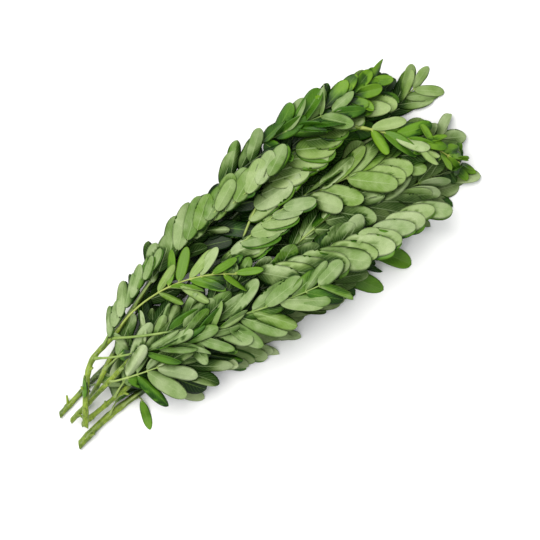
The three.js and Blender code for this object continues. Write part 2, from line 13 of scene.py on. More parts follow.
import bmesh
import bpy
import numpy as np
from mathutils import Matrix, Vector


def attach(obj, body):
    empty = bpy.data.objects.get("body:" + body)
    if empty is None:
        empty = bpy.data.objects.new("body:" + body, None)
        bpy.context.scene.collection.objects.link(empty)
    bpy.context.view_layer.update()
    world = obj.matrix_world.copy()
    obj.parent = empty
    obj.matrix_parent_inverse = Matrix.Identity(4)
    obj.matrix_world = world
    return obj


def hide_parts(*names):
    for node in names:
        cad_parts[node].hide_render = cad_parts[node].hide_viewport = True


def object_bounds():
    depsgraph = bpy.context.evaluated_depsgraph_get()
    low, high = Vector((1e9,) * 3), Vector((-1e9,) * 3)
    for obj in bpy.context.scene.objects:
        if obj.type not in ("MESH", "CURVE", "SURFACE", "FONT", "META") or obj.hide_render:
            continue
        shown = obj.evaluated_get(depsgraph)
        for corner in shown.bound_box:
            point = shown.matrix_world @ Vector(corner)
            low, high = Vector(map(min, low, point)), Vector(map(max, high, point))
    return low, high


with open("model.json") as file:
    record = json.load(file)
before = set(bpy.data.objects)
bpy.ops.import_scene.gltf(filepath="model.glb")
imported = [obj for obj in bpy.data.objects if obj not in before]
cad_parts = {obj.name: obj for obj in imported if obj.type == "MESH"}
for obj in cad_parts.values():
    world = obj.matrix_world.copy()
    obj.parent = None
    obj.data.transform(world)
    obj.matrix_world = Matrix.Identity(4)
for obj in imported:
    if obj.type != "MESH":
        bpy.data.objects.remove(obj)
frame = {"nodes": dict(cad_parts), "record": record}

MM = 0.001
cad_low, cad_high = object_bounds()
print("frame:", len(frame["nodes"]), "nodes,", [round(x / MM) for x in cad_high - cad_low], "mm")

# %% [markdown]
# ## The camera comes first
# The bunch lies on a table and is looked at from straight above, turned so that its cut ends
# point down to the left. A long lens at about a metre keeps the heap from looking swollen.

# %% Camera
LENS = 100.0                         # millimetres, on a sensor of 36
SENSOR = 36.0
VIEW_WIDTH = 0.3564                  # how much of the heap's middle height the view takes in
VIEW_MIDDLE = (0.0024, -0.0108)      # the point of the table that the camera stands over
BUNCH_TURN = math.radians(39.9)      # the bunch's long axis rises this much to the right
heap_middle = (cad_low.z + cad_high.z) / 2

camera = bpy.data.objects.new("camera", bpy.data.cameras.new("camera"))
camera.data.lens = LENS
camera.data.sensor_width = SENSOR
camera.location = (*VIEW_MIDDLE, heap_middle + VIEW_WIDTH * LENS / SENSOR)
camera.rotation_euler = (0, 0, -BUNCH_TURN)
bpy.context.scene.collection.objects.link(camera)
bpy.context.scene.camera = camera
print("camera height:", round(camera.location.z, 3), "m")

# %% [markdown]
# ## Reading a leaf off its solid
# Each leaflet's solid is a flat five-cornered plate with a ridge on its under side. The ridge's
# peak is the only corner with seven faces round it, so finding the peaks finds the leaflets. The
# plate's corners then give where the leaflet starts, where it ends, how wide it is and which side
# is its upper one. This way no leaflet is placed by hand, and none can drift off its solid.

# %% Read the leaflets
WELD = 0.002 * MM
PEAK_FACES = 7
SHOULDER_ALONG = 0.42                # the plate's shoulders, as shares of its length and width
SHOULDER_ACROSS = 0.74
HALF_RACHIS = 0.75 * MM              # the plate starts this far from the rachis's centre line
FLAT_ENOUGH = 0.02 * MM


def welded(node):
    """The node's solid with each corner once."""
    solid = bmesh.new()
    solid.from_mesh(frame["nodes"][node].data)
    bmesh.ops.remove_doubles(solid, verts=solid.verts, dist=WELD)
    return solid


def rim_round(peak):
    """The corners round a peak, in order, starting with the two on the rachis."""
    after = {}
    for face in peak.link_faces:
        corners = list(face.verts)
        i = corners.index(peak)
        after[corners[(i + 1) % 3]] = corners[(i + 2) % 3]
    rim = [next(iter(after))]
    while len(rim) < len(after):
        rim.append(after.get(rim[-1]))
        if rim[-1] is None:
            return []
    gaps = [(rim[i].co - rim[(i + 1) % len(rim)].co).length for i in range(len(rim))]
    start = gaps.index(min(gaps))
    return rim[start:] + rim[:start]


def read_leaflet(peak):
    """Where the leaflet with this peak lies, or None if the corner isn't a peak."""
    rim = rim_round(peak) if len(peak.link_faces) == PEAK_FACES else []
    if len(rim) != PEAK_FACES:
        return None
    first, waist, tip, other_waist, second = (v.co for v in rim[2:])
    foot = (first + second) / 2
    along = (tip - foot).normalized()
    up = along.cross(second - first).normalized()
    if max(abs((w - foot).dot(up)) for w in (waist, other_waist)) > FLAT_ENOUGH:
        return None
    if (peak.co - foot).dot(up) > 0:
        up = -up
    length = (tip - foot).length / (1 - SHOULDER_ALONG)
    base = tip - along * length
    aside = (rim[1].co - rim[0].co).cross(Vector((0, 0, 1))).normalized()
    if aside.dot(along) < 0:
        aside = -aside
    return {
        "base": base, "knot": base - aside * HALF_RACHIS,
        "along": along, "up": up, "length": length,
        "width": (second - first).length / SHOULDER_ACROSS,
        "corners": {peak, *rim[2:]},
    }


# %% [markdown]
# ## Reading the rachis
# What is left of the solid are the square rings of the rachis. Next to a pair of leaflets they
# only repeat what the pair says, so the centre line runs through the rings of the bare petiole
# and then from pair to pair.

# %% Read the rachis and the stems
PAIR_APART = 0.8 * MM                # two leaflets of one pair have their knots nearer than this
KNUCKLE_REACH = 1.5 * MM             # a pair's own ring corners lie nearer to its middle than this
RACHIS_SIDES = 4
STEM_SIDES = 8
STEM_FLAT = math.sin(3 * math.pi / 8)    # half a stem ring's height, next to its radius


def middle(points):
    """The mean of some points."""
    return sum(points, Vector()) / len(points)


def pairs_in_order(leaflets, petiole):
    """The leaflets in pairs, from the petiole's end to the tip of the leaf."""
    pairs = []
    for leaflet in leaflets:
        near = [p for p in pairs if (p[0]["knot"] - leaflet["knot"]).length < PAIR_APART]
        if near:
            near[0].append(leaflet)
        else:
            pairs.append([leaflet])
    ordered, here = [], petiole
    while pairs:
        pairs.sort(key=lambda p: (p[0]["knot"] - here).length)
        ordered.append(pairs.pop(0))
        here = ordered[-1][0]["knot"]
    return ordered


def read_leaf(node):
    """The leaf's pairs of leaflets and the centre line of its rachis, foot first."""
    solid = welded(node)
    leaflets = [x for x in map(read_leaflet, solid.verts) if x]
    used = set().union(*(x["corners"] for x in leaflets))
    rings = [
        v.co.copy() for v in solid.verts
        if v not in used and min((v.co - x["knot"]).length for x in leaflets) > KNUCKLE_REACH
    ]
    pairs = pairs_in_order(leaflets, middle(rings))
    knots = [pair[0]["knot"] for pair in pairs]
    rings.sort(key=lambda p: -(p - knots[0]).length)
    starts = range(0, len(rings) - RACHIS_SIDES + 1, RACHIS_SIDES)
    petiole = [middle(rings[i:i + RACHIS_SIDES]) for i in starts]
    for leaflet in leaflets:
        del leaflet["corners"]
    solid.free()
    return {"pairs": pairs, "line": petiole + knots, "petiole": len(petiole)}


def read_stem(node):
    """The centre line of a stem, cut end first, and its radius along it."""
    solid = welded(node)
    corners = sorted((v.co.copy() for v in solid.verts), key=lambda p: p.x)
    solid.free()
    rings = [corners[i:i + STEM_SIDES] for i in range(0, len(corners), STEM_SIDES)]
    heights = [max(p.z for p in ring) - min(p.z for p in ring) for ring in rings]
    return {
        "line": [middle(ring) for ring in rings],
        "radii": [height / 2 / STEM_FLAT for height in heights],
    }


leaf_names = sorted(n for n in frame["nodes"] if "_leaf_" in n)
stem_names = sorted(n for n in frame["nodes"] if n.endswith("_stem"))
leaves = {name: read_leaf(name) for name in leaf_names}
stems = {name: read_stem(name) for name in stem_names}
print(len(stems), "stems,", len(leaves), "leaves,",
      sum(len(pair) for leaf in leaves.values() for pair in leaf["pairs"]), "leaflets")

# %% [markdown]
# ## How deep a place is buried
# Little light reaches a gap in the heap, so the paint darkens what lies down there: painted shade.
# A map of the heap's upper surface is made from all leaflets, and a second one that levels it out
# over about the width of two leaflets. A place below the first is covered. One below the second
# lies in a hollow, which counts less the nearer it is to the heap's edge. Both end up in the paint
# as one number of painted shade: 0 lies open on top, 1 is buried. The lamp darkens the gaps too.
# The painted shade adds to that, because there it can be set leaf by leaf.

# %% Map the heap's surface
CELL = 1.0 * MM
LEVEL_REACH = 8                      # cells to each side over which the surface is levelled out
SQUARE = 2 * LEVEL_REACH + 1
COVERED_FROM, COVERED_BY = 0.7 * MM, 4.0 * MM
HOLLOW_FROM, HOLLOW_BY = 0.4 * MM, 4.5 * MM
EDGE_POWER = 1.5                     # how fast hollows stop counting towards the heap's edge
SAMPLES_ALONG, SAMPLES_ACROSS = 34, 13
MARGIN = 20                          # cells round the frame's box
MAP_SHAPE = [int(x / CELL) + 2 * MARGIN for x in (cad_high - cad_low)][:2]
MAP_CORNER = np.array([cad_low.x, cad_low.y]) - MARGIN * CELL


def cells(points):
    """The map cell of each point."""
    found = ((points[:, :2] - MAP_CORNER) / CELL).astype(int)
    return tuple(np.clip(found[:, k], 0, MAP_SHAPE[k] - 1) for k in (0, 1))


def map_surface(leaflets):
    """The height of the highest leaflet over each cell, and below 0 where there is none."""
    top = np.full(MAP_SHAPE, -1.0)
    shares = np.meshgrid(np.linspace(0.02, 0.98, SAMPLES_ALONG), np.linspace(-0.95, 0.95, SAMPLES_ACROSS))
    u, v = (grid.ravel() for grid in shares)
    v = v * np.sqrt(1 - (2 * u - 1) ** 4)
    for leaflet in leaflets:
        along, up = np.array(leaflet["along"]), np.array(leaflet["up"])
        points = (np.array(leaflet["base"]) + np.outer(u * leaflet["length"], along)
                  + np.outer(v * leaflet["width"] / 2, np.cross(up, along)))
        np.maximum.at(top, cells(points), points[:, 2])
    return top


def summed(grid):
    """The sum of the cells within LEVEL_REACH of each cell, in a square."""
    for axis in (0, 1):
        pad = [(0, 0), (0, 0)]
        pad[axis] = (LEVEL_REACH + 1, LEVEL_REACH)
        run = np.cumsum(np.pad(grid, pad), axis=axis)
        low = np.arange(grid.shape[axis])
        grid = np.take(run, low + SQUARE, axis=axis) - np.take(run, low, axis=axis)
    return grid


def burial(points):
    """How deep each point is buried, from 0 to 1."""
    place = cells(np.asarray(points))
    z = np.asarray(points)[:, 2]
    covered = (heap_top[place] - z - COVERED_FROM) / COVERED_BY
    hollow = (heap_level[place] - z - HOLLOW_FROM) / HOLLOW_BY * heap_filled[place]
    return np.clip(np.maximum(covered, hollow), 0, 1)


def map_heap(leaflets):
    """The heap's upper surface, the same levelled out, and how full of leaves it is round a cell."""
    top = map_surface(leaflets)
    there = top > 0
    number = summed(there.astype(float))
    level = summed(np.where(there, top, 0.0)) / np.maximum(number, 1)
    filled = (number / SQUARE ** 2) ** EDGE_POWER
    print("the heap covers", round(there.sum() * CELL ** 2 * 1e4), "square cm, mean height",
          round(top[there].mean() / MM), "mm")
    return top, level, filled


every_leaflet = [x for name in leaf_names for pair in leaves[name]["pairs"] for x in pair]
heap_top, heap_level, heap_filled = map_heap(every_leaflet)

# %% [markdown]
# ## A piece is gathered from closed bodies
# A compound leaf is one piece but many bodies: its stalk and all its leaflets. `Skin` gathers
# them with what the paint needs to know at each corner: a place on the leaflet or stalk as a UV
# map, and three numbers: how pale this leaflet is, how young, and how much painted shade it gets
# for how deep it is buried. They could be one object each, but then a leaf would no longer be one
# thing to move or to name.

# %% Gather bodies into a piece


class Skin:
    """The closed bodies of one piece, with a place, a paint and three numbers for their surface."""

    def __init__(self):
        self.points, self.faces, self.uvs, self.paints = [], [], [], []
        self.numbers = {"tone": [], "youth": [], "painted_shade": []}

    def add(self, points, faces, uvs, paints, tone=0.5, youth=0.0, shaded=1.0):
        """uvs has one entry per face corner, in the faces' order; paints one per face."""
        start = len(self.points)
        self.points.extend(map(tuple, points))
        self.faces.extend(tuple(start + i for i in face) for face in faces)
        self.uvs.extend(uvs)
        self.paints.extend(paints)
        for label, value in (("tone", tone), ("youth", youth)):
            self.numbers[label].extend([value] * len(points))
        # Painted shade: how deep each point is buried, times the share of it that this body gets.
        self.numbers["painted_shade"].extend(burial(points) * shaded)

    def piece(self, name, node, slot, materials):
        """Makes the object, puts it on the frame and lets it stand for the node."""
        mesh = bpy.data.meshes.new(name)
        mesh.from_pydata(self.points, [], self.faces)
        for material in materials:
            mesh.materials.append(material)
        mesh.polygons.foreach_set("material_index", self.paints)
        mesh.polygons.foreach_set("use_smooth", [True] * len(self.faces))
        layer = mesh.uv_layers.new(name="Place")
        layer.data.foreach_set("uv", np.array(self.uvs, np.float32).ravel())
        for label, values in self.numbers.items():
            attribute = mesh.attributes.new(label, "FLOAT", "POINT")
            attribute.data.foreach_set("value", np.array(values, np.float32))
        mesh.update()
        piece = bpy.data.objects.new(name, mesh)
        bpy.context.scene.collection.objects.link(piece)
        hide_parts(node)
        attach(piece, "root")
        return piece


# %% [markdown]
# ## Curves and tubes
# Stalks and stems are round and bend smoothly between the few points that the frame gives. A
# smooth curve is run through the points, and rings are set square to it. Blender's curve object
# with a bevel could do this too, but building the rings by hand lets the stem swell at its nodes,
# keeps its ribs, and lets its end be cut at a slant.

# %% Curves and tubes
STEPS_BETWEEN = 12                   # a curve is first walked in this many steps between two points


def smooth_line(points, step):
    """Evenly spaced places on a smooth curve through the points, and their distances along it."""
    p = np.array([tuple(q) for q in points])
    p = np.vstack([2 * p[0] - p[1], p, 2 * p[-1] - p[-2]])
    dense = []
    for i in range(1, len(p) - 2):
        t = np.linspace(0, 1, STEPS_BETWEEN, endpoint=False)[:, None]
        a, b, c, d = p[i - 1], p[i], p[i + 1], p[i + 2]
        dense.append(b + t * (c - a) / 2 + t ** 2 * (a - 2.5 * b + 2 * c - d / 2)
                     + t ** 3 * (1.5 * b - a / 2 - 1.5 * c + d / 2))
    dense = np.vstack([*dense, p[-2:-1]])
    walked = np.r_[0, np.cumsum(np.linalg.norm(np.diff(dense, axis=0), axis=1))]
    count = max(2, round(walked[-1] / step) + 1)
    at = np.linspace(0, walked[-1], count)
    return np.column_stack([np.interp(at, walked, dense[:, k]) for k in range(3)]), at


def frames_along(line):
    """At each place of the line: its direction, its left side and its upper side."""
    ahead = np.gradient(line, axis=0)
    ahead /= np.linalg.norm(ahead, axis=1)[:, None]
    left = np.cross([0, 0, 1], ahead)
    left /= np.linalg.norm(left, axis=1)[:, None]
    return ahead, left, np.cross(ahead, left)


def tube_faces(rings, sides):
    """Faces and face UVs of a tube of rings, with its two ends closed by flat faces."""
    faces, uvs = [], []
    for i in range(rings - 1):
        for k in range(sides):
            n = (k + 1) % sides
            faces.append((i * sides + k, i * sides + n, (i + 1) * sides + n, (i + 1) * sides + k))
            u, w = i / (rings - 1), (i + 1) / (rings - 1)
            uvs += [(u, k / sides), (u, (k + 1) / sides), (w, (k + 1) / sides), (w, k / sides)]
    faces.append(tuple(range(sides - 1, -1, -1)))
    faces.append(tuple((rings - 1) * sides + k for k in range(sides)))
    uvs += [(0, k / sides) for k in range(sides)] + [(1, k / sides) for k in range(sides)]
    return faces, uvs


def tube_points(line, radii, sides, flatten=1.0, lowest=0.0):
    """Rings of points round the line. flatten squeezes them from above; none goes below lowest."""
    _, left, up = frames_along(line)
    angles = 2 * np.pi * (np.arange(sides) + 0.5) / sides
    around = (np.cos(angles)[None, :, None] * left[:, None, :]
              + flatten * np.sin(angles)[None, :, None] * up[:, None, :])
    radii = np.asarray(radii)
    radii = radii[:, None, None] if radii.ndim == 1 else radii[:, :, None]
    points = (line[:, None, :] + around * radii).reshape(-1, 3)
    points[:, 2] = np.maximum(points[:, 2], lowest)
    return points


# %% [markdown]
# ## A leaflet's blade
# A leaflet is a thin oblong blade, blunt at both ends, about a quarter of a millimetre thick. It
# could be a flat plane with a leaf picture on it, but that looks like paper from the side. Here
# it is a closed body: a grid of points for the upper side and one for the lower side that meet
# at the rim, with a groove along the top and the midrib standing out below. The grid is made
# once in shares of length and width, and each leaflet bends its own copy: it cups along its
# midrib, curls towards its tip, twists a little, and its rim waves.

# %% The blade's grid
ROWS = 13
ACROSS = (-1, -0.74, -0.42, -0.13, 0, 0.13, 0.42, 0.74, 1)
COLUMNS = len(ACROSS)
END_CROWDING = 0.65                  # how far the rows crowd towards the two rounded ends
RACHIS_PAINT, UPPER_PAINT, UNDER_PAINT = 0, 1, 2


def blade_grid():
    """The grid's places (along, across, side), its faces, face UVs and each face's paint."""
    shares = (np.arange(ROWS) + 1) / (ROWS + 1)
    shares = (1 - END_CROWDING) * shares + END_CROWDING * (1 - np.cos(np.pi * shares)) / 2
    places = [(0, 0, 0)]
    places += [(u, v, 0 if abs(v) == 1 else 1) for u in shares for v in ACROSS]
    tip = len(places)
    places.append((1, 0, 0))
    places += [(u, v, -1) for u in shares for v in ACROSS[1:-1]]

    def top(row, column):
        return 1 + row * COLUMNS + column

    def low(row, column):
        if column in (0, COLUMNS - 1):
            return top(row, column)
        return tip + 1 + row * (COLUMNS - 2) + column - 1

    faces, paints = [], []
    for grid, paint in ((top, UPPER_PAINT), (low, UNDER_PAINT)):
        side = []
        for j in range(COLUMNS - 1):
            side.append((0, grid(0, j), grid(0, j + 1)))
            side += [(grid(i, j), grid(i + 1, j), grid(i + 1, j + 1), grid(i, j + 1))
                     for i in range(ROWS - 1)]
            side.append((grid(ROWS - 1, j), tip, grid(ROWS - 1, j + 1)))
        faces += side if grid is top else [face[::-1] for face in side]
        paints += [paint] * len(side)
    places = np.array(places, float)
    uvs = [(places[i][0], (places[i][1] + 1) / 2) for face in faces for i in face]
    return places, faces, uvs, paints


grid_places, grid_faces, grid_uvs, grid_paints = blade_grid()
print("one leaflet:", len(grid_places), "points,", len(grid_faces), "faces")

# %% [markdown]
# ## Bending one leaflet
# The outline is widest a little past its middle and rounds off bluntly to both ends. All the
# bends act on the blade's middle surface, and the two sides are set off from it last, so the
# blade keeps its thickness however it bends.

# %% Shape one leaflet
ROUND = 0.60                         # lower rounds the ends more squarely
HALF_THICK = 0.13 * MM
MIDRIB = 0.34 * MM                   # how far the midrib stands out below
GROOVE = 0.10 * MM                   # how deep the groove above it is
MIDRIB_ACROSS = 0.10                 # share of the half width that the midrib takes up
MIDRIB_FADE = 0.75                   # how much of the midrib is gone at the tip
CUP_ROUND = 0.5                      # rounds the bottom of a cupped blade
RIM_SHIFT = 0.31                     # one rim waves ahead, the other behind, by this share of a wave
TWIST_DRAW = 0.3                     # how much of a blade's height its twist moves sideways
FLOOR_AIR = 0.45 * MM                # the middle of a blade lies at least this high


def blade_points(leaflet):
    """The grid's points for one leaflet, bent as its bends say."""
    bend = leaflet["bends"]
    u, v, side = grid_places.T
    length, half = leaflet["length"], leaflet["width"] / 2
    widest = bend["widest"]
    reach = np.where(u < widest, (widest - u) / widest, (u - widest) / (1 - widest))
    outline = np.maximum(1 - reach ** bend["blunt"], 0) ** ROUND
    x = u * length
    y = v * half * outline
    z = bend["cup"] * np.abs(y) * np.abs(v) ** CUP_ROUND - bend["curl"] * length * u ** 2
    y = y / math.sqrt(1 + bend["cup"] ** 2)
    ripple = np.sin(2 * np.pi * (bend["waves"] * u + bend["phase"] + RIM_SHIFT * np.sign(v)))
    z += bend["wave"] * half * ripple * v ** 2 * np.sin(np.pi * u)
    turn = bend["twist"] * u
    y, z = y * np.cos(turn) - z * np.sin(turn) * TWIST_DRAW, z + y * np.sin(turn)
    y = y + bend["sickle"] * length * u ** 2
    rib = np.exp(-(v / MIDRIB_ACROSS) ** 2) * (1 - MIDRIB_FADE * u)
    thick = HALF_THICK * np.sqrt(np.maximum(1 - v ** 2, 0))
    offset = np.where(side > 0, thick - GROOVE * rib, 0) - np.where(side < 0, thick + MIDRIB * rib, 0)
    along, up = np.array(leaflet["along"]), np.array(leaflet["up"])
    across = np.cross(up, along)
    mid = np.array(leaflet["base"]) + np.outer(x, along) + np.outer(y, across) + np.outer(z, up)
    mid[:, 2] = np.maximum(mid[:, 2], FLOOR_AIR)
    return mid + np.outer(offset, up)


# %% [markdown]
# ## Every leaf has its own character
# On the heap some leaves show their dull grey-green undersides and some their bright upper sides,
# and young leaves are yellower. Each leaf has a few numbers for that. `tone` is how pale it is,
# `youth` how yellow, and `turned` the share of its leaflets that have flipped over. `unrest` is
# how untidily they lie, `wide` and `grown` how broad and how big they are next to their solids,
# `closed` how far its two rows have swung in over the stalk, and `shaded` how much of the painted
# shade for its place in the heap it gets. Leaves that stand out have them listed one by one. For
# the rest they are plain, or are drawn at random with the leaf's name as the seed, so that each
# run gives the same bunch.

# %% The leaves' characters
PLAIN = {"youth": 0.0, "turned": 0.06, "unrest": 1.0, "wide": 1.0, "grown": 1.0, "shaded": 1.0}
PLAIN_TONES = (0.3, 0.75)
CLOSINGS = ((0.8, 0.1), (0.1, 0.8), (0.5, 0.0))     # the left and the right row
OPEN = {"closed": (0, 0)}


def small(tone, grown, turned=0.3, unrest=2.0):
    """One of the small leaves near the cut ends."""
    return {"tone": tone, "grown": grown, "turned": turned, "unrest": unrest, **OPEN}


CHARACTERS = {
    "low_side": {
        1: {"tone": 0.85, "youth": 0.2, "turned": 0.0, "grown": 1.05, "shaded": 0.1},
        2: {"tone": 0.7, "shaded": 0.3},
        3: {"tone": 0.7, "youth": 0.2, "turned": 0.0, "grown": 1.15, "shaded": 0.1},
        4: {"tone": 0.7, "turned": 0.3, "shaded": 0.5},
        5: {"tone": 0.7, "turned": 0.3, "shaded": 0.5},
        6: {"tone": 0.7, "shaded": 0.4},
        7: {"tone": 0.85, "turned": 0.0, "grown": 1.1, "shaded": 0.3, **OPEN},
        8: {"tone": 1.0, "turned": 0.0, "grown": 1.1, "shaded": 0.1},
        9: small(0.5, 1.40, turned=0.4),
        10: {"tone": 0.8, "youth": 0.15, "turned": 0.0, "grown": 1.3},
        11: {"tone": 0.8, "turned": 0.0, "shaded": 0.3},
        12: small(0.6, 1.55),
    },
    "middle": {
        1: {"tone": 0.3, "youth": 0.15, "turned": 0.0, "wide": 0.85, "closed": (0.9, 0.85)},
        2: {"tone": 0.3, "turned": 0.1, "closed": (0.8, 0.3)},
        3: {"tone": 0.6, "wide": 1.2, "shaded": 0.4},
        4: {"tone": 0.5, "wide": 1.3, **OPEN},
        5: {"tone": 0.5, "wide": 1.35, **OPEN},
        6: {"wide": 1.3, **OPEN},
        7: small(0.7, 1.40, turned=0.2, unrest=1.8),
        9: small(0.6, 1.55),
    },
    "near_side": {
        1: {"tone": 0.6, "youth": 0.5, "unrest": 2.2, "shaded": 0.5, **OPEN},
        2: {"tone": 0.7, "wide": 1.1, "shaded": 0.4},
        3: {"shaded": 0.6, **OPEN},
        4: OPEN,
        5: {"wide": 1.25, **OPEN},
        7: small(0.6, 1.40),
        8: small(0.6, 1.50),
    },
    "far": {
        1: {"tone": 0.7, "turned": 0.0, "wide": 1.2, "shaded": 0.4, **OPEN},
        3: {"tone": 0.4, "unrest": 1.7},
        4: {"tone": 0.5, "unrest": 2.0},
        5: small(0.5, 1.40, unrest=1.8),
    },
    "heart": {
        1: {"tone": 0.4, "youth": 0.2, "turned": 0.05, "unrest": 0.7, **OPEN},
        2: {"tone": 0.6, "youth": 0.2, "turned": 0.0, "wide": 1.25, "shaded": 0.5, **OPEN},
        3: {"tone": 0.6, "youth": 0.15},
        4: {"tone": 0.5, **OPEN},
        5: {"tone": 0.35, "turned": 0.2, "unrest": 1.7},
        6: small(0.6, 1.45),
        7: small(0.7, 1.45, turned=0.2),
    },
    "far_edge": {
        1: {"tone": 0.6, "youth": 0.6, "unrest": 2.2, **OPEN},
        2: {"tone": 0.7, "youth": 0.35, "turned": 0.4, "unrest": 1.5, "closed": (0.2, 0.5)},
        3: {"tone": 0.4, "youth": 0.2, "turned": 0.15, "shaded": 0.5},
        4: {"tone": 0.6, "youth": 0.6, "unrest": 1.8, "closed": (0.3, 0)},
        5: {"tone": 0.35, "turned": 0.6, "unrest": 1.5, "shaded": 0.6},
        6: {"tone": 0.35, "turned": 0.5},
        7: {"tone": 0.4, "youth": 0.1},
        8: {"tone": 0.4},
        9: {"tone": 0.3, "turned": 0.18},
        10: {"tone": 0.4, "unrest": 1.7},
        11: {"tone": 0.3, "turned": 0.3, "unrest": 1.3},
        12: {"tone": 0.5, "youth": 0.35, "turned": 0.35, "unrest": 2.0, "closed": (0, 0.2)},
        13: {"tone": 0.6, "turned": 0.0, "wide": 1.1},
    },
}


def character(name):
    """A leaf's numbers: plain, drawn at random, or set by hand."""
    shoot, number = name.split("_leaf_")
    drawn = {
        "tone": random.Random(name + " tone").uniform(*PLAIN_TONES),
        "closed": random.Random(name + " closed").choice(CLOSINGS),
    }
    return {**PLAIN, **drawn, **CHARACTERS[shoot].get(int(number), {})}


print("leaves with a character of their own:", sum(len(shoot) for shoot in CHARACTERS.values()))

# %% [markdown]
# ## Leaflets go limp
# A fresh leaf holds its leaflets flat and in order. In a cut bunch they go limp: each one cups
# along its midrib, curls, twists and turns away from its row a little, and some get caught and
# end up askew. Towards the cut ends they lie least orderly and are narrower. A physics simulation
# could do this too. Small random turns need no such run, and keep each leaflet near its solid.

# %% Bend and settle a leaflet
BENDS = {"cup": (0.10, 0.22), "curl": (0.03, 0.05), "twist": (0, 0.20), "sickle": (0, 0.03)}
WAVE_DEPTH, WAVES = (0.0, 0.12), (1.2, 2.6)
WIDEST, BLUNT = (0.54, 0.04), (2.2, 3.3)
YAW, ROLL, RISE = 0.08, 0.13, 0.03
WILD_SHARE = 0.14                    # of the leaflets, this share got caught and lies askew
WILD_YAW, WILD_ROLL = (0.15, 0.45), (0.3, 0.9)
LENGTHS, WIDTHS = (0.92, 1.12), (0.95, 1.15)
FOOT_UNREST, TIP_UNREST = 1.7, 0.8   # at the cut ends and at the leaf tips
FOOT_WIDTH, TIP_WIDTH = 0.82, 1.10


def bends(rng, unrest):
    """How one leaflet bends."""
    found = {way: rng.gauss(*usual) * unrest for way, usual in BENDS.items()}
    found.update(wave=rng.uniform(*WAVE_DEPTH), waves=rng.uniform(*WAVES), phase=rng.random(),
                 widest=rng.gauss(*WIDEST), blunt=rng.uniform(*BLUNT))
    return found


def turn_leaflet(leaflet, yaw, roll, rise):
    """The leaflet turned sideways about its foot, rolled about its midrib and raised at its tip."""
    along, up = leaflet["along"], leaflet["up"]
    across = up.cross(along)
    along = (along + across * yaw + up * rise).normalized()
    up = up + across * roll
    up = (up - along * up.dot(along)).normalized()
    return {**leaflet, "along": along, "up": up}


def settle(leaflet, rng, own, unrest):
    """The leaflet with its direction, tilt and size a little off its neighbours'."""
    ahead_share = (leaflet["base"].x - cad_low.x) / (cad_high.x - cad_low.x)
    yaw, roll, rise = (rng.gauss(0, spread) for spread in (YAW, ROLL, RISE))
    if rng.random() < WILD_SHARE:
        yaw += rng.choice((-1, 1)) * rng.uniform(*WILD_YAW)
        roll += rng.choice((-1, 1)) * rng.uniform(*WILD_ROLL)
    unrest *= FOOT_UNREST + (TIP_UNREST - FOOT_UNREST) * ahead_share
    turned = turn_leaflet(leaflet, yaw * unrest, roll * unrest, rise * unrest)
    turned["length"] = leaflet["length"] * rng.uniform(*LENGTHS) * own["grown"]
    turned["width"] = leaflet["width"] * rng.uniform(*WIDTHS) * own["wide"] * own["grown"]
    turned["width"] *= FOOT_WIDTH + (TIP_WIDTH - FOOT_WIDTH) * ahead_share
    return turned


# %% [markdown]
# ## Rows that close up
# After it is cut, agathi also lets its leaflets swing forwards. In many leaves on top of the heap
# one of the two rows then lies over the stalk like a row of shingles, and no stalk shows. Here
# each leaflet of such a row is swung towards the tip of its leaf, its foot is shifted over the
# stalk, and its tip is raised so that it lies on the next one's foot.

# %% Close a row up
CLOSED_SHIFT = 1.1 * MM              # how far over the rachis a fully closed leaflet's foot lies
CLOSED_LIFT = 1.0 * MM
CLOSED_PITCH = 0.07                  # how steeply each one rises over the next one's foot
CLOSED_SPREAD = 0.12                 # sine of the angle that it then still makes with the rachis
OVER = Vector((0, 0, 1))


def close_up(leaflet, knot, ahead, share):
    """The leaflet swung towards its rachis by this share, so that its row lies over the stalk."""
    out = leaflet["along"] - ahead * leaflet["along"].dot(ahead)
    now = out.length
    out = out.normalized()
    wanted = now + (min(now, CLOSED_SPREAD) - now) * share
    along = ahead * math.sqrt(1 - wanted ** 2) + out * wanted + OVER * CLOSED_PITCH * share
    along.normalize()
    up = (leaflet["up"] - along * leaflet["up"].dot(along)).normalized()
    base = leaflet["base"].lerp(knot - out * CLOSED_SHIFT, share) + OVER * CLOSED_LIFT * share
    return {**leaflet, "base": base, "along": along, "up": up}


# %% [markdown]
# ## Folded leaves
# Agathi folds its leaves when it is cut or at night: the two rows close like a book, upper sides
# inwards. The frame has one plate for each folded pair. The leaflet that shows is that plate, and
# its partner lies under it, face to face, turned a little so that its bright side peeks out. It
# bends as the first one does, only seen from behind, so that the two don't cut each other.

# %% The hidden partner of a folded leaflet
FOLD_GAP = 0.8 * MM
FOLD_TURN = (0.08, 0.05)             # mean and spread of the partner's turn


def partner(leaflet, rng):
    """The leaflet that lies face to face with this one."""
    hidden = turn_leaflet(leaflet, rng.gauss(*FOLD_TURN), 0.0, 0.0)
    hidden["base"] = leaflet["base"] + leaflet["up"] * FOLD_GAP
    hidden["up"] = -hidden["up"]
    mirrored = {way: -leaflet["bends"][way] for way in ("cup", "curl", "sickle", "wave")}
    hidden["bends"] = {**leaflet["bends"], **mirrored}
    return hidden


def is_folded(leaf):
    """Whether all pairs of a leaf have one plate each. A leaf with a single leaflet isn't folded."""
    return len(leaf["pairs"]) > 1 and all(len(pair) == 1 for pair in leaf["pairs"])


# %% [markdown]
# ## Laying out every leaflet
# Now each leaf's leaflets are laid out, and the map of the heap is made again from them, because
# they have left their plates a little. A leaf that lies open on top may close its rows. One that
# is pressed under others keeps them spread and lies broader. A few leaflets have dropped off.

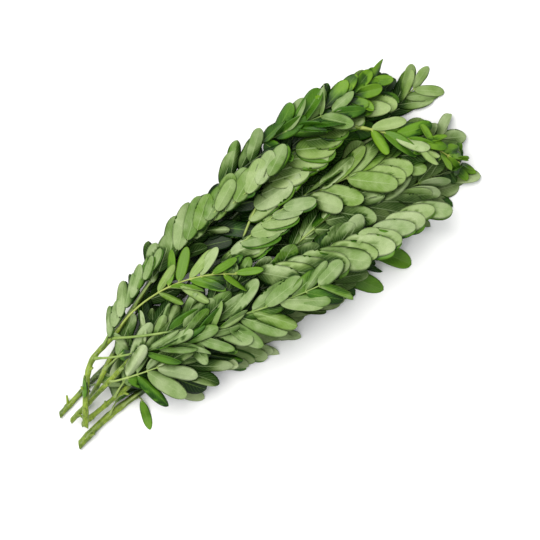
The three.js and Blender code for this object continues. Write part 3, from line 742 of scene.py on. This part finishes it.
# %% Lay out the leaflets
PRESSED = 5                          # a leaf that is buried by a fifth counts as fully pressed
LOST_SHARE = 0.04
PINCHED_SHARE = 0.14                 # this share has drawn its halves together along the midrib
PINCHED_CUP, PINCHED_WIDTH = (0.4, 0.75), 0.85
PRESSED_WIDER = 0.35                 # leaflets pressed flat under the heap lie broader
FOLDED_CALM = 0.55                   # leaflets lying face to face bend less
FOLDED_CLOSED = 0.45                 # a folded row closes up less than an open one
FOLDED_OVERLAP = 3.5 * MM            # how far a folded row's feet lie over the rachis
ROWS_DIFFER, LEAFLETS_DIFFER = (0.7, 1.2), (0.7, 1.3)    # in how far they have closed up
TONES_DIFFER, YOUTHS_DIFFER = 0.14, 0.09


def openness(leaf):
    """1 for a leaf that lies open on top, 0 for one that is pressed under others."""
    halves = [x["base"] + x["along"] * x["length"] / 2 for pair in leaf["pairs"] for x in pair]
    return 1 - min(1, PRESSED * float(np.mean(burial([tuple(p) for p in halves]))))


def number_near(mean, spread, rng):
    """A number near this mean, from 0 to 1."""
    return min(1, max(0, mean + rng.gauss(0, spread)))


def dress(name):
    """All the leaflets of a leaf as they lie, each with its knot, bends, tone and youth."""
    leaf, own = leaves[name], character(name)
    rng = random.Random(name)
    folded = is_folded(leaf)
    knots = leaf["line"][leaf["petiole"]:]
    alone = len(knots) == 1
    lying_open = openness(leaf)
    closed = [share * lying_open * rng.uniform(*ROWS_DIFFER) for share in own["closed"]]
    found = []
    for i, (pair, knot) in enumerate(zip(leaf["pairs"], knots)):
        before = leaf["line"][leaf["petiole"] + i - 1]
        ahead = (knots[min(i + 1, len(knots) - 1)] - before).normalized()
        for placed in pair:
            if rng.random() < LOST_SHARE and not alone:
                continue
            row = 0 if ahead.cross(placed["along"]).z > 0 else 1
            share = min(1, closed[row] * rng.uniform(*LEAFLETS_DIFFER))
            if folded or alone:
                share *= FOLDED_CLOSED
            unrest = own["unrest"] * (FOLDED_CALM if folded else 1 - share / 2)
            leaflet = settle(close_up(placed, knot, ahead, share), rng, own, unrest)
            leaflet["bends"] = bends(rng, unrest)
            may_pinch = own["unrest"] >= 1 and not (folded or alone)
            if may_pinch and rng.random() < PINCHED_SHARE:
                leaflet["bends"]["cup"] = rng.choice((-1, 1)) * rng.uniform(*PINCHED_CUP)
                leaflet["width"] *= PINCHED_WIDTH
            leaflet["width"] *= 1 + PRESSED_WIDER * (1 - lying_open)
            both = [leaflet]
            if folded:
                leaflet["base"] = leaflet["base"] - leaflet["along"] * FOLDED_OVERLAP
                leaflet["base"].z += CLOSED_LIFT
                both = [partner(leaflet, rng), leaflet]
            elif rng.random() < own["turned"]:
                leaflet["up"] = -leaflet["up"]
            for one in both:
                one["knot"] = knot
                one["tone"] = number_near(own["tone"], TONES_DIFFER, rng)
                one["youth"] = number_near(own["youth"], YOUTHS_DIFFER, rng)
                found.append(one)
    return found


dressed = {name: dress(name) for name in leaf_names}
heap_top, heap_level, heap_filled = map_heap([x for found in dressed.values() for x in found])
print("leaflets laid out:", sum(map(len, dressed.values())))

# %% [markdown]
# ## The stalk of a leaf
# The petiole is thickest at its foot, where it swells into a joint that sat on the stem. From
# there it thins towards the tip, with a small knuckle under each pair of leaflets. Each leaflet
# hangs on a stalk of its own, a millimetre or two long, that runs from the rachis into the blade.

# %% Build the stalk
STALK_SIDES = 8
STALK_STEP = 1.6 * MM
STALK_FOOT, STALK_TIP = 0.95 * MM, 0.42 * MM     # radius at the petiole and at the leaf's tip
STALK_THINS = 0.8                    # below 1 it thins soonest near its foot
JOINT_LENGTH = 4.0 * MM
JOINT_SWELL = 0.65
KNUCKLE_LENGTH = 1.1 * MM
KNUCKLE_SWELL = 0.22
TIP_LENGTH = 1.6 * MM
TIP_NARROWS = 0.75
STALK_FLATTEN = 0.86
FULL_LEAFLET = 29 * MM               # the leaflets of a leaf whose stalk has its full thickness
THINNEST = 0.45                      # share of that thickness that even the smallest leaf has
LARGEST_LEAFLET = 1.2                # no leaflet counts for more than this many full ones
LEAFLET_STALK = 1.9 * MM
LEAFLET_STALK_SIDES = 6
LEAFLET_STALK_RADII = np.array([0.5, 0.46, 0.26]) * MM


def stalk_size(leaf):
    """A big leaf has a thick stalk: the share of the full thickness that this one has."""
    longest = max(x["length"] for pair in leaf["pairs"] for x in pair)
    return THINNEST + (1 - THINNEST) * min(LARGEST_LEAFLET, longest / FULL_LEAFLET)


def add_stalk(skin, leaf, foot, own):
    """The petiole and rachis, from the foot on the stem to a thin tip."""
    points = [foot, *leaf["line"][1:]]
    last = points[-1] + (points[-1] - points[-2]).normalized() * TIP_LENGTH
    line, at = smooth_line([*points, last], STALK_STEP)
    share = at / at[-1]
    radii = stalk_size(leaf) * (STALK_FOOT + (STALK_TIP - STALK_FOOT) * share ** STALK_THINS)
    radii *= 1 + JOINT_SWELL * np.exp(-(at / JOINT_LENGTH) ** 2)
    for knot in leaf["line"][leaf["petiole"]:]:
        near = np.linalg.norm(line - np.array(knot), axis=1)
        radii *= 1 + KNUCKLE_SWELL * np.exp(-(near / KNUCKLE_LENGTH) ** 2)
    radii *= 1 - TIP_NARROWS * np.clip((at - at[-1] + TIP_LENGTH) / TIP_LENGTH, 0, 1)
    rings = tube_points(line, radii, STALK_SIDES, STALK_FLATTEN)
    faces, uvs = tube_faces(len(line), STALK_SIDES)
    skin.add(rings, faces, uvs, [RACHIS_PAINT] * len(faces), own["tone"], own["youth"])


def add_leaflet_stalk(skin, leaflet, size, own):
    """The short stalk that carries one leaflet."""
    end = leaflet["base"] + leaflet["along"] * LEAFLET_STALK
    line = np.array([tuple(place) for place in (leaflet["knot"], leaflet["base"], end)])
    rings = tube_points(line, LEAFLET_STALK_RADII * size, LEAFLET_STALK_SIDES)
    faces, uvs = tube_faces(len(line), LEAFLET_STALK_SIDES)
    skin.add(rings, faces, uvs, [RACHIS_PAINT] * len(faces), own["tone"], own["youth"])


# %% [markdown]
# ## Where a leaf sits on its stem
# The frame leaves a hair of air between a leaf's foot and its stem. The stalk is led on to the
# nearest point of the stem's line, a little way inside its skin, on the side that it leaves for.

# %% Find the foot of each leaf
STEM_STEP = 2 * MM
FOOT_OUT = 0.6                       # the foot lies this share of the radius off the centre line


def radii_along(stem, at):
    """The stem's radius at these distances along it."""
    return np.interp(at / at[-1], np.linspace(0, 1, len(stem["radii"])), stem["radii"])


def stem_place(stem, point):
    """The nearest place on the stem's centre line, with the radius there and how far along it is."""
    line, at = smooth_line(stem["line"], STEM_STEP)
    radii = radii_along(stem, at)
    i = int(np.argmin(np.linalg.norm(line - np.array(point), axis=1)))
    return Vector(line[i]), float(radii[i]), float(at[i])


def foot_on_stem(name, leaf):
    """Where the leaf's stalk starts, just inside the skin of its stem."""
    stem = stems[name.split("_leaf_")[0] + "_stem"]
    centre, radius, _ = stem_place(stem, leaf["line"][0])
    toward = leaf["line"][1] - centre
    return centre + toward.normalized() * radius * FOOT_OUT


# %% [markdown]
# ## Paint, shared effects first
# Three effects are used by more than one paint, so each is a node group made once.
# **Blade pattern** turns a place on a leaflet into masks for its midrib, its side veins and its
# rim. **Patches** mixes a coarse and a fine noise into the uneven green of anything that grew.
# ** Fresh green** picks the colour between a dark, a pale and a young one, and paints shade on
# what is buried: darker, more saturated, and blended towards a shadow colour.

# %% Node helpers
MIX_PLACES = (0, 6, 7)               # a Mix node's inputs for the share and the two colours


def new_group(name, inputs, outputs):
    """An empty node group with named sockets, and its input and output nodes."""
    tree = bpy.data.node_groups.new(name, "ShaderNodeTree")
    for label, kind, default in inputs:
        socket = tree.interface.new_socket(label, in_out="INPUT", socket_type=kind)
        if default is not None:
            socket.default_value = default
    for label, kind in outputs:
        tree.interface.new_socket(label, in_out="OUTPUT", socket_type=kind)
    return tree, tree.nodes.new("NodeGroupInput"), tree.nodes.new("NodeGroupOutput")


def put(tree, socket, value):
    """Links a value that is a socket, or sets one that isn't."""
    if isinstance(value, bpy.types.NodeSocket):
        tree.links.new(value, socket)
    else:
        socket.default_value = value


def calc(tree, operation, *values, clamp=False):
    """One Math node, and its result."""
    node = tree.nodes.new("ShaderNodeMath")
    node.operation = operation
    node.use_clamp = clamp
    for socket, value in zip(node.inputs, values):
        put(tree, socket, value)
    return node.outputs[0]


def blend(tree, share, first, second, kind="MIX"):
    """A colour between two colours."""
    node = tree.nodes.new("ShaderNodeMix")
    node.data_type = "RGBA"
    node.blend_type = kind
    for place, value in zip(MIX_PLACES, (share, first, second)):
        put(tree, node.inputs[place], value)
    return node.outputs[2]


def ramp(tree, value, low, high):
    """0 below low, 1 above high, and a smooth step between."""
    node = tree.nodes.new("ShaderNodeMapRange")
    node.interpolation_type = "SMOOTHSTEP"
    for socket, number in zip(node.inputs, (value, low, high, 0.0, 1.0)):
        put(tree, socket, number)
    return node.outputs[0]


def noise(tree, place, scale, detail=2.0):
    """Soft noise between 0 and 1."""
    node = tree.nodes.new("ShaderNodeTexNoise")
    put(tree, node.inputs["Vector"], place)
    put(tree, node.inputs["Scale"], scale)
    node.inputs["Detail"].default_value = detail
    return node.outputs["Fac"]


def use(tree, group, **values):
    """Places a group in a tree with these inputs, and returns its node."""
    node = tree.nodes.new("ShaderNodeGroup")
    node.node_tree = group
    for label, value in values.items():
        put(tree, node.inputs[label.replace("_", " ")], value)
    return node


# %% The blade pattern group
FLOAT, VECTOR, COLOR = "NodeSocketFloat", "NodeSocketVector", "NodeSocketColor"

blade_pattern, given, made = new_group(
    "Blade pattern",
    [("Place", VECTOR, None), ("Side veins", FLOAT, 11.0), ("Slant", FLOAT, 3.0)],
    [("Midrib", FLOAT), ("Veins", FLOAT), ("Rim", FLOAT)],
)
split = blade_pattern.nodes.new("ShaderNodeSeparateXYZ")
put(blade_pattern, split.inputs[0], given.outputs["Place"])
from_middle = calc(blade_pattern, "MULTIPLY_ADD", split.outputs[1], 2.0, -1.0)
off_middle = calc(blade_pattern, "ABSOLUTE", from_middle)
thin_out = calc(blade_pattern, "MULTIPLY_ADD", split.outputs[0], -0.06, 0.09)
midrib = calc(blade_pattern, "SUBTRACT", 1.0,
              ramp(blade_pattern, off_middle, calc(blade_pattern, "MULTIPLY", thin_out, 0.4), thin_out))
climb = calc(blade_pattern, "MULTIPLY", off_middle, given.outputs["Slant"])
count = calc(blade_pattern, "MULTIPLY", split.outputs[0], given.outputs["Side veins"])
beyond = calc(blade_pattern, "SUBTRACT", calc(blade_pattern, "ADD", count, 8.0), climb)
phase = calc(blade_pattern, "FRACT", beyond)
vein_line = calc(blade_pattern, "ABSOLUTE", calc(blade_pattern, "SUBTRACT", phase, 0.5))
vein = ramp(blade_pattern, vein_line, 0.34, 0.5)
fade = calc(blade_pattern, "SUBTRACT", 1.0, ramp(blade_pattern, off_middle, 0.45, 0.98))
put(blade_pattern, made.inputs["Midrib"], midrib)
put(blade_pattern, made.inputs["Veins"], calc(blade_pattern, "MULTIPLY", vein, fade))
put(blade_pattern, made.inputs["Rim"], ramp(blade_pattern, off_middle, 0.86, 1.0))

# %% The patches group
patches, given, made = new_group(
    "Patches",
    [("Place", VECTOR, None), ("Coarse scale", FLOAT, 90.0), ("Fine scale", FLOAT, 900.0)],
    [("Coarse", FLOAT), ("Fine", FLOAT)],
)
coarse = noise(patches, given.outputs["Place"], given.outputs["Coarse scale"])
fine = noise(patches, given.outputs["Place"], given.outputs["Fine scale"], 3.0)
put(patches, made.inputs["Coarse"], ramp(patches, coarse, 0.3, 0.7))
put(patches, made.inputs["Fine"], ramp(patches, fine, 0.28, 0.72))

# %% The fresh green group
fresh_green, given, made = new_group(
    "Fresh green",
    [("Dark", COLOR, None), ("Pale", COLOR, None), ("Young", COLOR, None), ("Deep", COLOR, None),
     ("Tone", FLOAT, 0.5), ("Youth", FLOAT, 0.0), ("Depth", FLOAT, 0.0),
     ("Patches", FLOAT, 0.5), ("Unevenness", FLOAT, 0.3)],
    [("Color", COLOR)],
)
shift = calc(fresh_green, "MULTIPLY", calc(fresh_green, "SUBTRACT", given.outputs["Patches"], 0.5),
             given.outputs["Unevenness"])
share = calc(fresh_green, "ADD", given.outputs["Tone"], shift, clamp=True)
grown = blend(fresh_green, share, given.outputs["Dark"], given.outputs["Pale"])
fresh = blend(fresh_green, given.outputs["Youth"], grown, given.outputs["Young"])
# Painted shade: what lies buried in the heap is darkened and made more saturated, then blended towards
# the shadow colour.
painted_shade_gamma = fresh_green.nodes.new("ShaderNodeGamma")      # what lies deep is darker and more saturated
put(fresh_green, painted_shade_gamma.inputs["Color"], fresh)
gamma = calc(fresh_green, "MULTIPLY_ADD", given.outputs["Depth"], 1.6, 1.0)
put(fresh_green, painted_shade_gamma.inputs["Gamma"], gamma)
buried = calc(fresh_green, "MULTIPLY", given.outputs["Depth"], 0.75)
sunk = blend(fresh_green, buried, painted_shade_gamma.outputs[0], given.outputs["Deep"])
put(fresh_green, made.inputs["Color"], sunk)
print("node groups:", [g.name for g in bpy.data.node_groups])

# %% [markdown]
# ## Leaf paints
# The upper side of a leaflet is a deep, clean green with a slight gloss. The under side is paler
# and greyer, because fine hairs and wax scatter the light, and it is duller. Veins are sunk into
# the upper side and stand out below, so the same masks feed the bump with opposite signs.

# %% Paint the leaflets and their stalks


def new_paint(name):
    """An empty paint with its Principled shader, the UV place, the object place and three numbers."""
    material = bpy.data.materials.new(name)
    material.use_nodes = True
    tree = material.node_tree
    shader = tree.nodes["Principled BSDF"]
    uv = tree.nodes.new("ShaderNodeUVMap")
    uv.uv_map = "Place"
    place = tree.nodes.new("ShaderNodeTexCoord").outputs["Object"]
    numbers = {}
    for label in ("tone", "youth", "painted_shade"):
        node = tree.nodes.new("ShaderNodeAttribute")
        node.attribute_name = label
        numbers[label] = node.outputs["Fac"]
    return material, tree, shader, uv.outputs["UV"], place, numbers


def bump(tree, shader, height, strength, distance):
    """Makes the surface look raised by this height."""
    node = tree.nodes.new("ShaderNodeBump")
    node.inputs["Strength"].default_value = strength
    node.inputs["Distance"].default_value = distance
    put(tree, node.inputs["Height"], height)
    tree.links.new(node.outputs["Normal"], shader.inputs["Normal"])


# deep is the painted shade colour that buried parts of the blade are darkened towards.
def leaflet_paint(name, dark, pale, young, deep, vein_color, roughness, gloss, relief):
    """relief is above 0 where the veins stand out and below 0 where they are sunk in."""
    material, tree, shader, uv, place, numbers = new_paint(name)
    pattern = use(tree, blade_pattern, Place=uv)
    mottle = use(tree, patches, Place=place, Coarse_scale=110.0, Fine_scale=1500.0)
    green = use(tree, fresh_green, Dark=dark, Pale=pale, Young=young, Deep=deep,
                Tone=numbers["tone"], Youth=numbers["youth"], Depth=numbers["painted_shade"],
                Patches=mottle.outputs["Coarse"], Unevenness=0.35)
    veins = calc(tree, "MULTIPLY", pattern.outputs["Veins"], 0.20)
    lines = calc(tree, "MAXIMUM", calc(tree, "MULTIPLY", pattern.outputs["Midrib"], 0.5), veins)
    veined = blend(tree, lines, green.outputs["Color"], vein_color)
    speckle = calc(tree, "MULTIPLY_ADD", mottle.outputs["Fine"], 0.16, 0.92)
    shade = tree.nodes.new("ShaderNodeCombineColor")
    for socket in shade.inputs[:3]:
        tree.links.new(speckle, socket)
    put(tree, shader.inputs["Base Color"], blend(tree, 1.0, veined, shade.outputs[0], "MULTIPLY"))
    put(tree, shader.inputs["Roughness"],
        calc(tree, "MULTIPLY_ADD", mottle.outputs["Fine"], 0.12, roughness - 0.06))
    height = calc(tree, "MULTIPLY_ADD", pattern.outputs["Veins"], relief,
                  calc(tree, "MULTIPLY", mottle.outputs["Fine"], 0.35))
    bump(tree, shader, height, 0.5, 0.12 * MM)
    shader.inputs["Specular IOR Level"].default_value = gloss
    return material


# The fourth colour of each is painted shade, for what lies buried in the heap.
upper_paint = leaflet_paint(
    "leaflet upper side", (0.020, 0.080, 0.003, 1), (0.090, 0.220, 0.012, 1), (0.16, 0.30, 0.014, 1),
    (0.004, 0.022, 0.0008, 1), (0.15, 0.26, 0.04, 1), 0.42, 0.20, -1.0)
under_paint = leaflet_paint(
    "leaflet under side", (0.085, 0.180, 0.018, 1), (0.400, 0.475, 0.268, 1), (0.25, 0.38, 0.05, 1),
    (0.007, 0.034, 0.0006, 1), (0.32, 0.42, 0.19, 1), 0.62, 0.10, 1.0)


def stalk_paint():
    """Yellow-green, with a fine grain."""
    material, tree, shader, _, place, numbers = new_paint("leaf stalk")
    mottle = use(tree, patches, Place=place, Coarse_scale=140.0, Fine_scale=1800.0)
    # The last colour is painted shade, for where the stalk lies buried in the heap.
    green = use(tree, fresh_green, Dark=(0.14, 0.24, 0.035, 1), Pale=(0.34, 0.44, 0.12, 1),
                Young=(0.40, 0.42, 0.06, 1), Deep=(0.02, 0.04, 0.008, 1),
                Tone=numbers["tone"], Youth=numbers["youth"], Depth=numbers["painted_shade"],
                Patches=mottle.outputs["Coarse"], Unevenness=0.5)
    put(tree, shader.inputs["Base Color"], green.outputs["Color"])
    put(tree, shader.inputs["Roughness"], calc(tree, "MULTIPLY_ADD", mottle.outputs["Fine"], 0.14, 0.42))
    bump(tree, shader, mottle.outputs["Fine"], 0.4, 0.1 * MM)
    return material


rachis_paint = stalk_paint()

# %% [markdown]
# ## Growing the leaves
# Now each leaf is put together: its stalk, and for each leaflet a short stalk and a blade. They
# are all closed bodies of one mesh, and stand for the leaf's solid.

# %% Build the leaves
LEAF_PAINTS = [rachis_paint, upper_paint, under_paint]
slots = {part["node"]: part["material_slot"] for part in frame["record"]["subparts"]}


def build_leaf(name):
    """One leaf as a piece of its own, in place of its solid."""
    leaf, own = leaves[name], character(name)
    size = stalk_size(leaf)
    skin = Skin()
    add_stalk(skin, leaf, foot_on_stem(name, leaf), own)
    for leaflet in dressed[name]:
        add_leaflet_stalk(skin, leaflet, size, own)
        skin.add(blade_points(leaflet), grid_faces, grid_uvs, grid_paints,
                 leaflet["tone"], leaflet["youth"], own["shaded"])
    return skin.piece(name.replace("_leaf_", "_frond_"), name, slots[name], LEAF_PAINTS)


fronds = [build_leaf(name) for name in leaf_names]
print("fronds:", len(fronds), "with", sum(len(f.data.polygons) for f in fronds), "faces")

# %% [markdown]
# ## Nodes and stumps
# Where a leaf grows on a stem, or grew, the stem has a node. Near the cut ends the leaves were
# stripped off: most left only a scar, and some a stump of their petiole that ends in a break.

# %% Nodes and stumps
FIRST_NODE = 9 * MM                  # from the cut end
NODE_EVERY = 15 * MM                 # between bare nodes
NODE_SPREAD, NODE_TURN = (0.8, 1.15), (0.8, 1.2)    # how evenly they follow, and turn to each side
NODES_APART = 6 * MM                 # no bare node comes nearer to a leaf than this
BARE_TO, BARE_END = 60 * MM, 8 * MM  # bare nodes up to here, and to this far before the first leaf
STUB_SIDES = 7
STUB_ZONE = 75 * MM                  # stumps are left on this much of the stem
STUB_LENGTHS, STUB_LEANS = (3.0, 7.5), (0.5, 1.3)
STUB_SHARES = (0, 0.3, 0.65, 1.0)
STUB_RADII = np.array([1.5, 1.0, 0.85, 0.7]) * MM
STUB_CURVE = 0.1
STUB_TONE = 0.75
STUB_ROOT = 0.5                      # it starts this share of the radius off the centre line
STEM_PAINT, CUT_PAINT = 0, 1
# Stems and stumps get this share of the painted shade that a leaf gets.
STEM_SHADED = 0.6                    # a stem's skin stays lighter in the shade than a leaf does
UPWARDS = math.pi / 2


def node_places(stem, name):
    """Distances along the stem where a leaf sits or sat, and the angle of each round the stem."""
    shoot = name[: -len("_stem")]
    feet = [leaves[n]["line"][0] for n in leaf_names if n.startswith(shoot + "_leaf_")]
    taken = sorted(stem_place(stem, foot)[2] for foot in feet)
    places = [(at, UPWARDS) for at in taken]
    rng = random.Random(name)
    at, turn = FIRST_NODE, rng.random() * math.pi
    while at < taken[0] - BARE_END or at < BARE_TO:
        if min(abs(at - other) for other in taken) > NODES_APART:
            places.append((at, turn % (2 * math.pi)))
        at += NODE_EVERY * rng.uniform(*NODE_SPREAD)
        turn += math.pi * rng.uniform(*NODE_TURN)
    return places


def add_stub(skin, root, ahead, out, rng):
    """The stump of a petiole that broke off: it leaves the stem forwards and ends in a break."""
    length = rng.uniform(*STUB_LENGTHS) * MM
    lean = rng.uniform(*STUB_LEANS)
    way = out * lean + ahead
    way /= np.linalg.norm(way)
    line = np.array([root + way * length * share + out * lean * length * STUB_CURVE * share ** 2
                     for share in STUB_SHARES])
    faces, uvs = tube_faces(len(line), STUB_SIDES)
    paints = [STEM_PAINT] * (len(faces) - 1) + [CUT_PAINT]
    skin.add(tube_points(line, STUB_RADII, STUB_SIDES), faces, uvs, paints, STUB_TONE, shaded=STEM_SHADED)


# %% [markdown]
# ## The cut end
# The shoots were cut at a slant with a knife. A single flat face could close the tube, but then
# the paint would have no corners between the rim and the middle. So smaller rings are set in the
# plane of the cut, and their UV place says how far from the middle they are.

# %% The cut end
CUT_SHARES = (1.0, 0.9, 0.62, 0.3)   # the rings on the cut, as shares of its rim
SKIN_SIDES = 20


def cut_end(rings):
    """Closes the first ring with the cut: smaller rings in its plane and a point in the middle."""
    rim = rings[:SKIN_SIDES]
    heart = rim.mean(axis=0)
    points = [*rings]
    loops = [list(range(SKIN_SIDES))]
    for share in CUT_SHARES[1:]:
        loops.append([len(points) + k for k in range(SKIN_SIDES)])
        points.extend(heart + (rim - heart) * share)
    faces, uvs = [], []
    for outer, inner, far, near_share in zip(loops, loops[1:], CUT_SHARES, CUT_SHARES[1:]):
        for k in range(SKIN_SIDES):
            n = (k + 1) % SKIN_SIDES
            faces.append((outer[n], outer[k], inner[k], inner[n]))
            angle, after = k / SKIN_SIDES, (k + 1) / SKIN_SIDES
            uvs += [(far, after), (far, angle), (near_share, angle), (near_share, after)]
    points.append(heart)
    for k in range(SKIN_SIDES):
        n = (k + 1) % SKIN_SIDES
        faces.append((loops[-1][n], loops[-1][k], len(points) - 1))
        uvs += [(CUT_SHARES[-1], (k + 1) / SKIN_SIDES), (CUT_SHARES[-1], k / SKIN_SIDES), (0, 0)]
    return points, faces, uvs


# %% [markdown]
# ## Stems
# A young agathi stem is round and yellow-green, with faint ribs. Each node is a slight swelling
# with a crescent scar below the stalk. The rings of the tube take all of it up as one factor for
# each corner, and the first rings lean into the slant of the cut so that none cuts the next one.

# %% Build the stems
SKIN_STEP = 1.5 * MM
RIBS = 5
RIB_HEIGHT = 0.035
NODE_SWELL = 0.16
NODE_LENGTH = 2.6 * MM
SCAR_SWELL = 0.30
SCAR_WIDTH = 0.7                     # half its angle round the stem, in radians
SCAR_BELOW = 1.4 * MM                # how far below the node it lies
SCAR_LENGTH = 1.1 * MM
CUT_SLANT = 0.7
CUT_RINGS = 4                        # rings over which the slant of the cut dies out
TAPER, TAPER_LENGTH = 0.55, 4 * MM   # how much the far end narrows, and over which length
SKIN_STRETCH = 40                    # how many places of the UV map a metre of stem takes up


def build_stem(name):
    """One stem as a piece of its own, in place of its solid."""
    stem = stems[name]
    nodes = node_places(stem, name)
    line, at = smooth_line(stem["line"], SKIN_STEP)
    radii = radii_along(stem, at)
    angles = 2 * np.pi * (np.arange(SKIN_SIDES) + 0.5) / SKIN_SIDES
    spread = np.ones((len(line), SKIN_SIDES)) + RIB_HEIGHT * np.cos(RIBS * angles)[None, :]
    for place, angle in nodes:
        swollen = np.exp(-((at - place) / NODE_LENGTH) ** 2)
        spread += NODE_SWELL * swollen[:, None]
        facing = np.exp(-(((angles - angle + np.pi) % (2 * np.pi) - np.pi) / SCAR_WIDTH) ** 2)
        below = np.exp(-((at - place + SCAR_BELOW) / SCAR_LENGTH) ** 2)
        spread += SCAR_SWELL * below[:, None] * facing[None, :]
    taper = 1 - TAPER * np.clip((at - at[-1] + TAPER_LENGTH) / TAPER_LENGTH, 0, 1) ** 2
    rings = tube_points(line, radii[:, None] * spread * taper[:, None], SKIN_SIDES)
    ahead, left, up = frames_along(line)
    slant = np.cos(angles) * radii[0] * CUT_SLANT
    for i in range(CUT_RINGS):
        ring = slice(i * SKIN_SIDES, (i + 1) * SKIN_SIDES)
        rings[ring] += np.outer(slant * (1 - i / CUT_RINGS), ahead[i])
    faces, uvs = tube_faces(len(line), SKIN_SIDES)
    uvs = [(u * at[-1] * SKIN_STRETCH, v) for u, v in uvs]
    faces, uvs = faces[:-2] + faces[-1:], uvs[:-2 * SKIN_SIDES] + uvs[-SKIN_SIDES:]
    points, cut_faces, cut_uvs = cut_end(rings)
    skin = Skin()
    skin.add(points, faces + cut_faces, uvs + cut_uvs,
             [STEM_PAINT] * len(faces) + [CUT_PAINT] * len(cut_faces), shaded=STEM_SHADED)
    rng = random.Random(name + " stubs")
    for place, angle in nodes:
        i = int(np.argmin(abs(at - place)))
        out = math.cos(angle) * left[i] + abs(math.sin(angle)) * up[i]
        if place < STUB_ZONE and angle != UPWARDS:
            add_stub(skin, line[i] + out * radii[i] * STUB_ROOT, ahead[i], out, rng)
    return skin.piece(name.replace("_stem", "_shoot_stem"), name, "stem", STEM_PAINTS)


# %% [markdown]
# ## Stem paints
# The skin runs from yellow-green to a deeper green in long streaks, with small pale specks. The
# cut is painted by its distance from the middle, which the UV map holds.

# %% Paint the stems


def stem_paint():
    """Green skin in long streaks, with pale specks."""
    material, tree, shader, uv, place, numbers = new_paint("stem skin")
    mottle = use(tree, patches, Place=place, Coarse_scale=70.0, Fine_scale=1300.0)
    streaks = use(tree, patches, Place=uv, Coarse_scale=3.0, Fine_scale=9.0)
    mixed = calc(tree, "MULTIPLY_ADD", streaks.outputs["Fine"], 0.5,
                 calc(tree, "MULTIPLY", mottle.outputs["Coarse"], 0.5))
    # The last colour is painted shade, for where the stem lies buried in the heap.
    green = use(tree, fresh_green, Dark=(0.045, 0.095, 0.003, 1), Pale=(0.24, 0.34, 0.02, 1),
                Young=(0.4, 0.5, 0.07, 1), Deep=(0.02, 0.04, 0.004, 1),
                Tone=numbers["tone"], Youth=numbers["youth"], Depth=numbers["painted_shade"],
                Patches=mixed, Unevenness=1.2)
    speck = ramp(tree, mottle.outputs["Fine"], 0.86, 1.0)
    put(tree, shader.inputs["Base Color"],
        blend(tree, calc(tree, "MULTIPLY", speck, 0.5), green.outputs["Color"], (0.5, 0.52, 0.25, 1)))
    put(tree, shader.inputs["Roughness"], calc(tree, "MULTIPLY_ADD", mixed, 0.2, 0.34))
    bump(tree, shader, streaks.outputs["Fine"], 0.5, 0.15 * MM)
    return material


def cut_paint():
    """Pith in the middle, then wood, then the green skin at the rim."""
    material, tree, shader, uv, place, _ = new_paint("cut end")
    split = tree.nodes.new("ShaderNodeSeparateXYZ")
    put(tree, split.inputs[0], uv)
    mottle = use(tree, patches, Place=place, Coarse_scale=900.0, Fine_scale=3500.0)
    out = calc(tree, "MULTIPLY_ADD", mottle.outputs["Coarse"], 0.10,
               calc(tree, "SUBTRACT", split.outputs[0], 0.05))
    wood = blend(tree, ramp(tree, out, 0.42, 0.58), (0.56, 0.60, 0.36, 1), (0.42, 0.46, 0.20, 1))
    put(tree, shader.inputs["Base Color"],
        blend(tree, ramp(tree, out, 0.84, 0.93), wood, (0.14, 0.22, 0.03, 1)))
    put(tree, shader.inputs["Roughness"], calc(tree, "MULTIPLY_ADD", mottle.outputs["Fine"], 0.2, 0.5))
    bump(tree, shader, mottle.outputs["Fine"], 0.6, 0.12 * MM)
    return material


STEM_PAINTS = [stem_paint(), cut_paint()]
shoots = [build_stem(name) for name in stem_names]
print("stems:", len(shoots), "with", sum(len(s.data.polygons) for s in shoots), "faces")

# %% [markdown]
# ## Table and light
# The bunch lies on a plain white table. One large soft lamp hangs high up and a little beyond the
# bunch, and a bright white surround fills the shadows, so that only a faint shadow falls on the
# near side.

# %% Table and light
TABLE_SIZE = 3.0
LAMP_PLACE = (-0.11, 0.48, 1.28)
LAMP_SIZE = 1.1
LAMP_WATTS = 20.0
SURROUND = 0.66                      # how bright the surround is

mesh = bpy.data.meshes.new("table")
half = TABLE_SIZE / 2
corners = [(-half, -half, 0), (half, -half, 0), (half, half, 0), (-half, half, 0)]
mesh.from_pydata(corners, [], [(0, 1, 2, 3)])
table = bpy.data.objects.new("table", mesh)
bpy.context.scene.collection.objects.link(table)
paper = bpy.data.materials.new("table")
paper.use_nodes = True
shader = paper.node_tree.nodes["Principled BSDF"]
shader.inputs["Base Color"].default_value = (0.93, 0.93, 0.94, 1)
shader.inputs["Roughness"].default_value = 0.8
mesh.materials.append(paper)

lamp = bpy.data.objects.new("soft lamp", bpy.data.lights.new("soft lamp", "AREA"))
lamp.data.shape = "DISK"
lamp.data.size = LAMP_SIZE
lamp.data.energy = LAMP_WATTS
lamp.data.color = (1.0, 0.985, 0.94)
lamp.location = LAMP_PLACE
lamp.rotation_euler = (-Vector(LAMP_PLACE)).to_track_quat("-Z", "Y").to_euler()
bpy.context.scene.collection.objects.link(lamp)

world = bpy.data.worlds.new("surround")
world.use_nodes = True
background = world.node_tree.nodes["Background"]
background.inputs["Color"].default_value = (0.96, 0.98, 0.985, 1)
background.inputs["Strength"].default_value = SURROUND
bpy.context.scene.world = world
bpy.context.scene.view_settings.view_transform = "Standard"
print("lamp:", round(Vector(LAMP_PLACE).length, 2), "m from the middle of the table")

# %% [markdown]
# ## The frame's box
# The size of the frame's box is printed. The surfaces may stand a little proud of the frame's
# box, and no more.

# %% Measure and finish
print("frame box:", [round(x / MM, 1) for x in cad_high - cad_low], "mm")
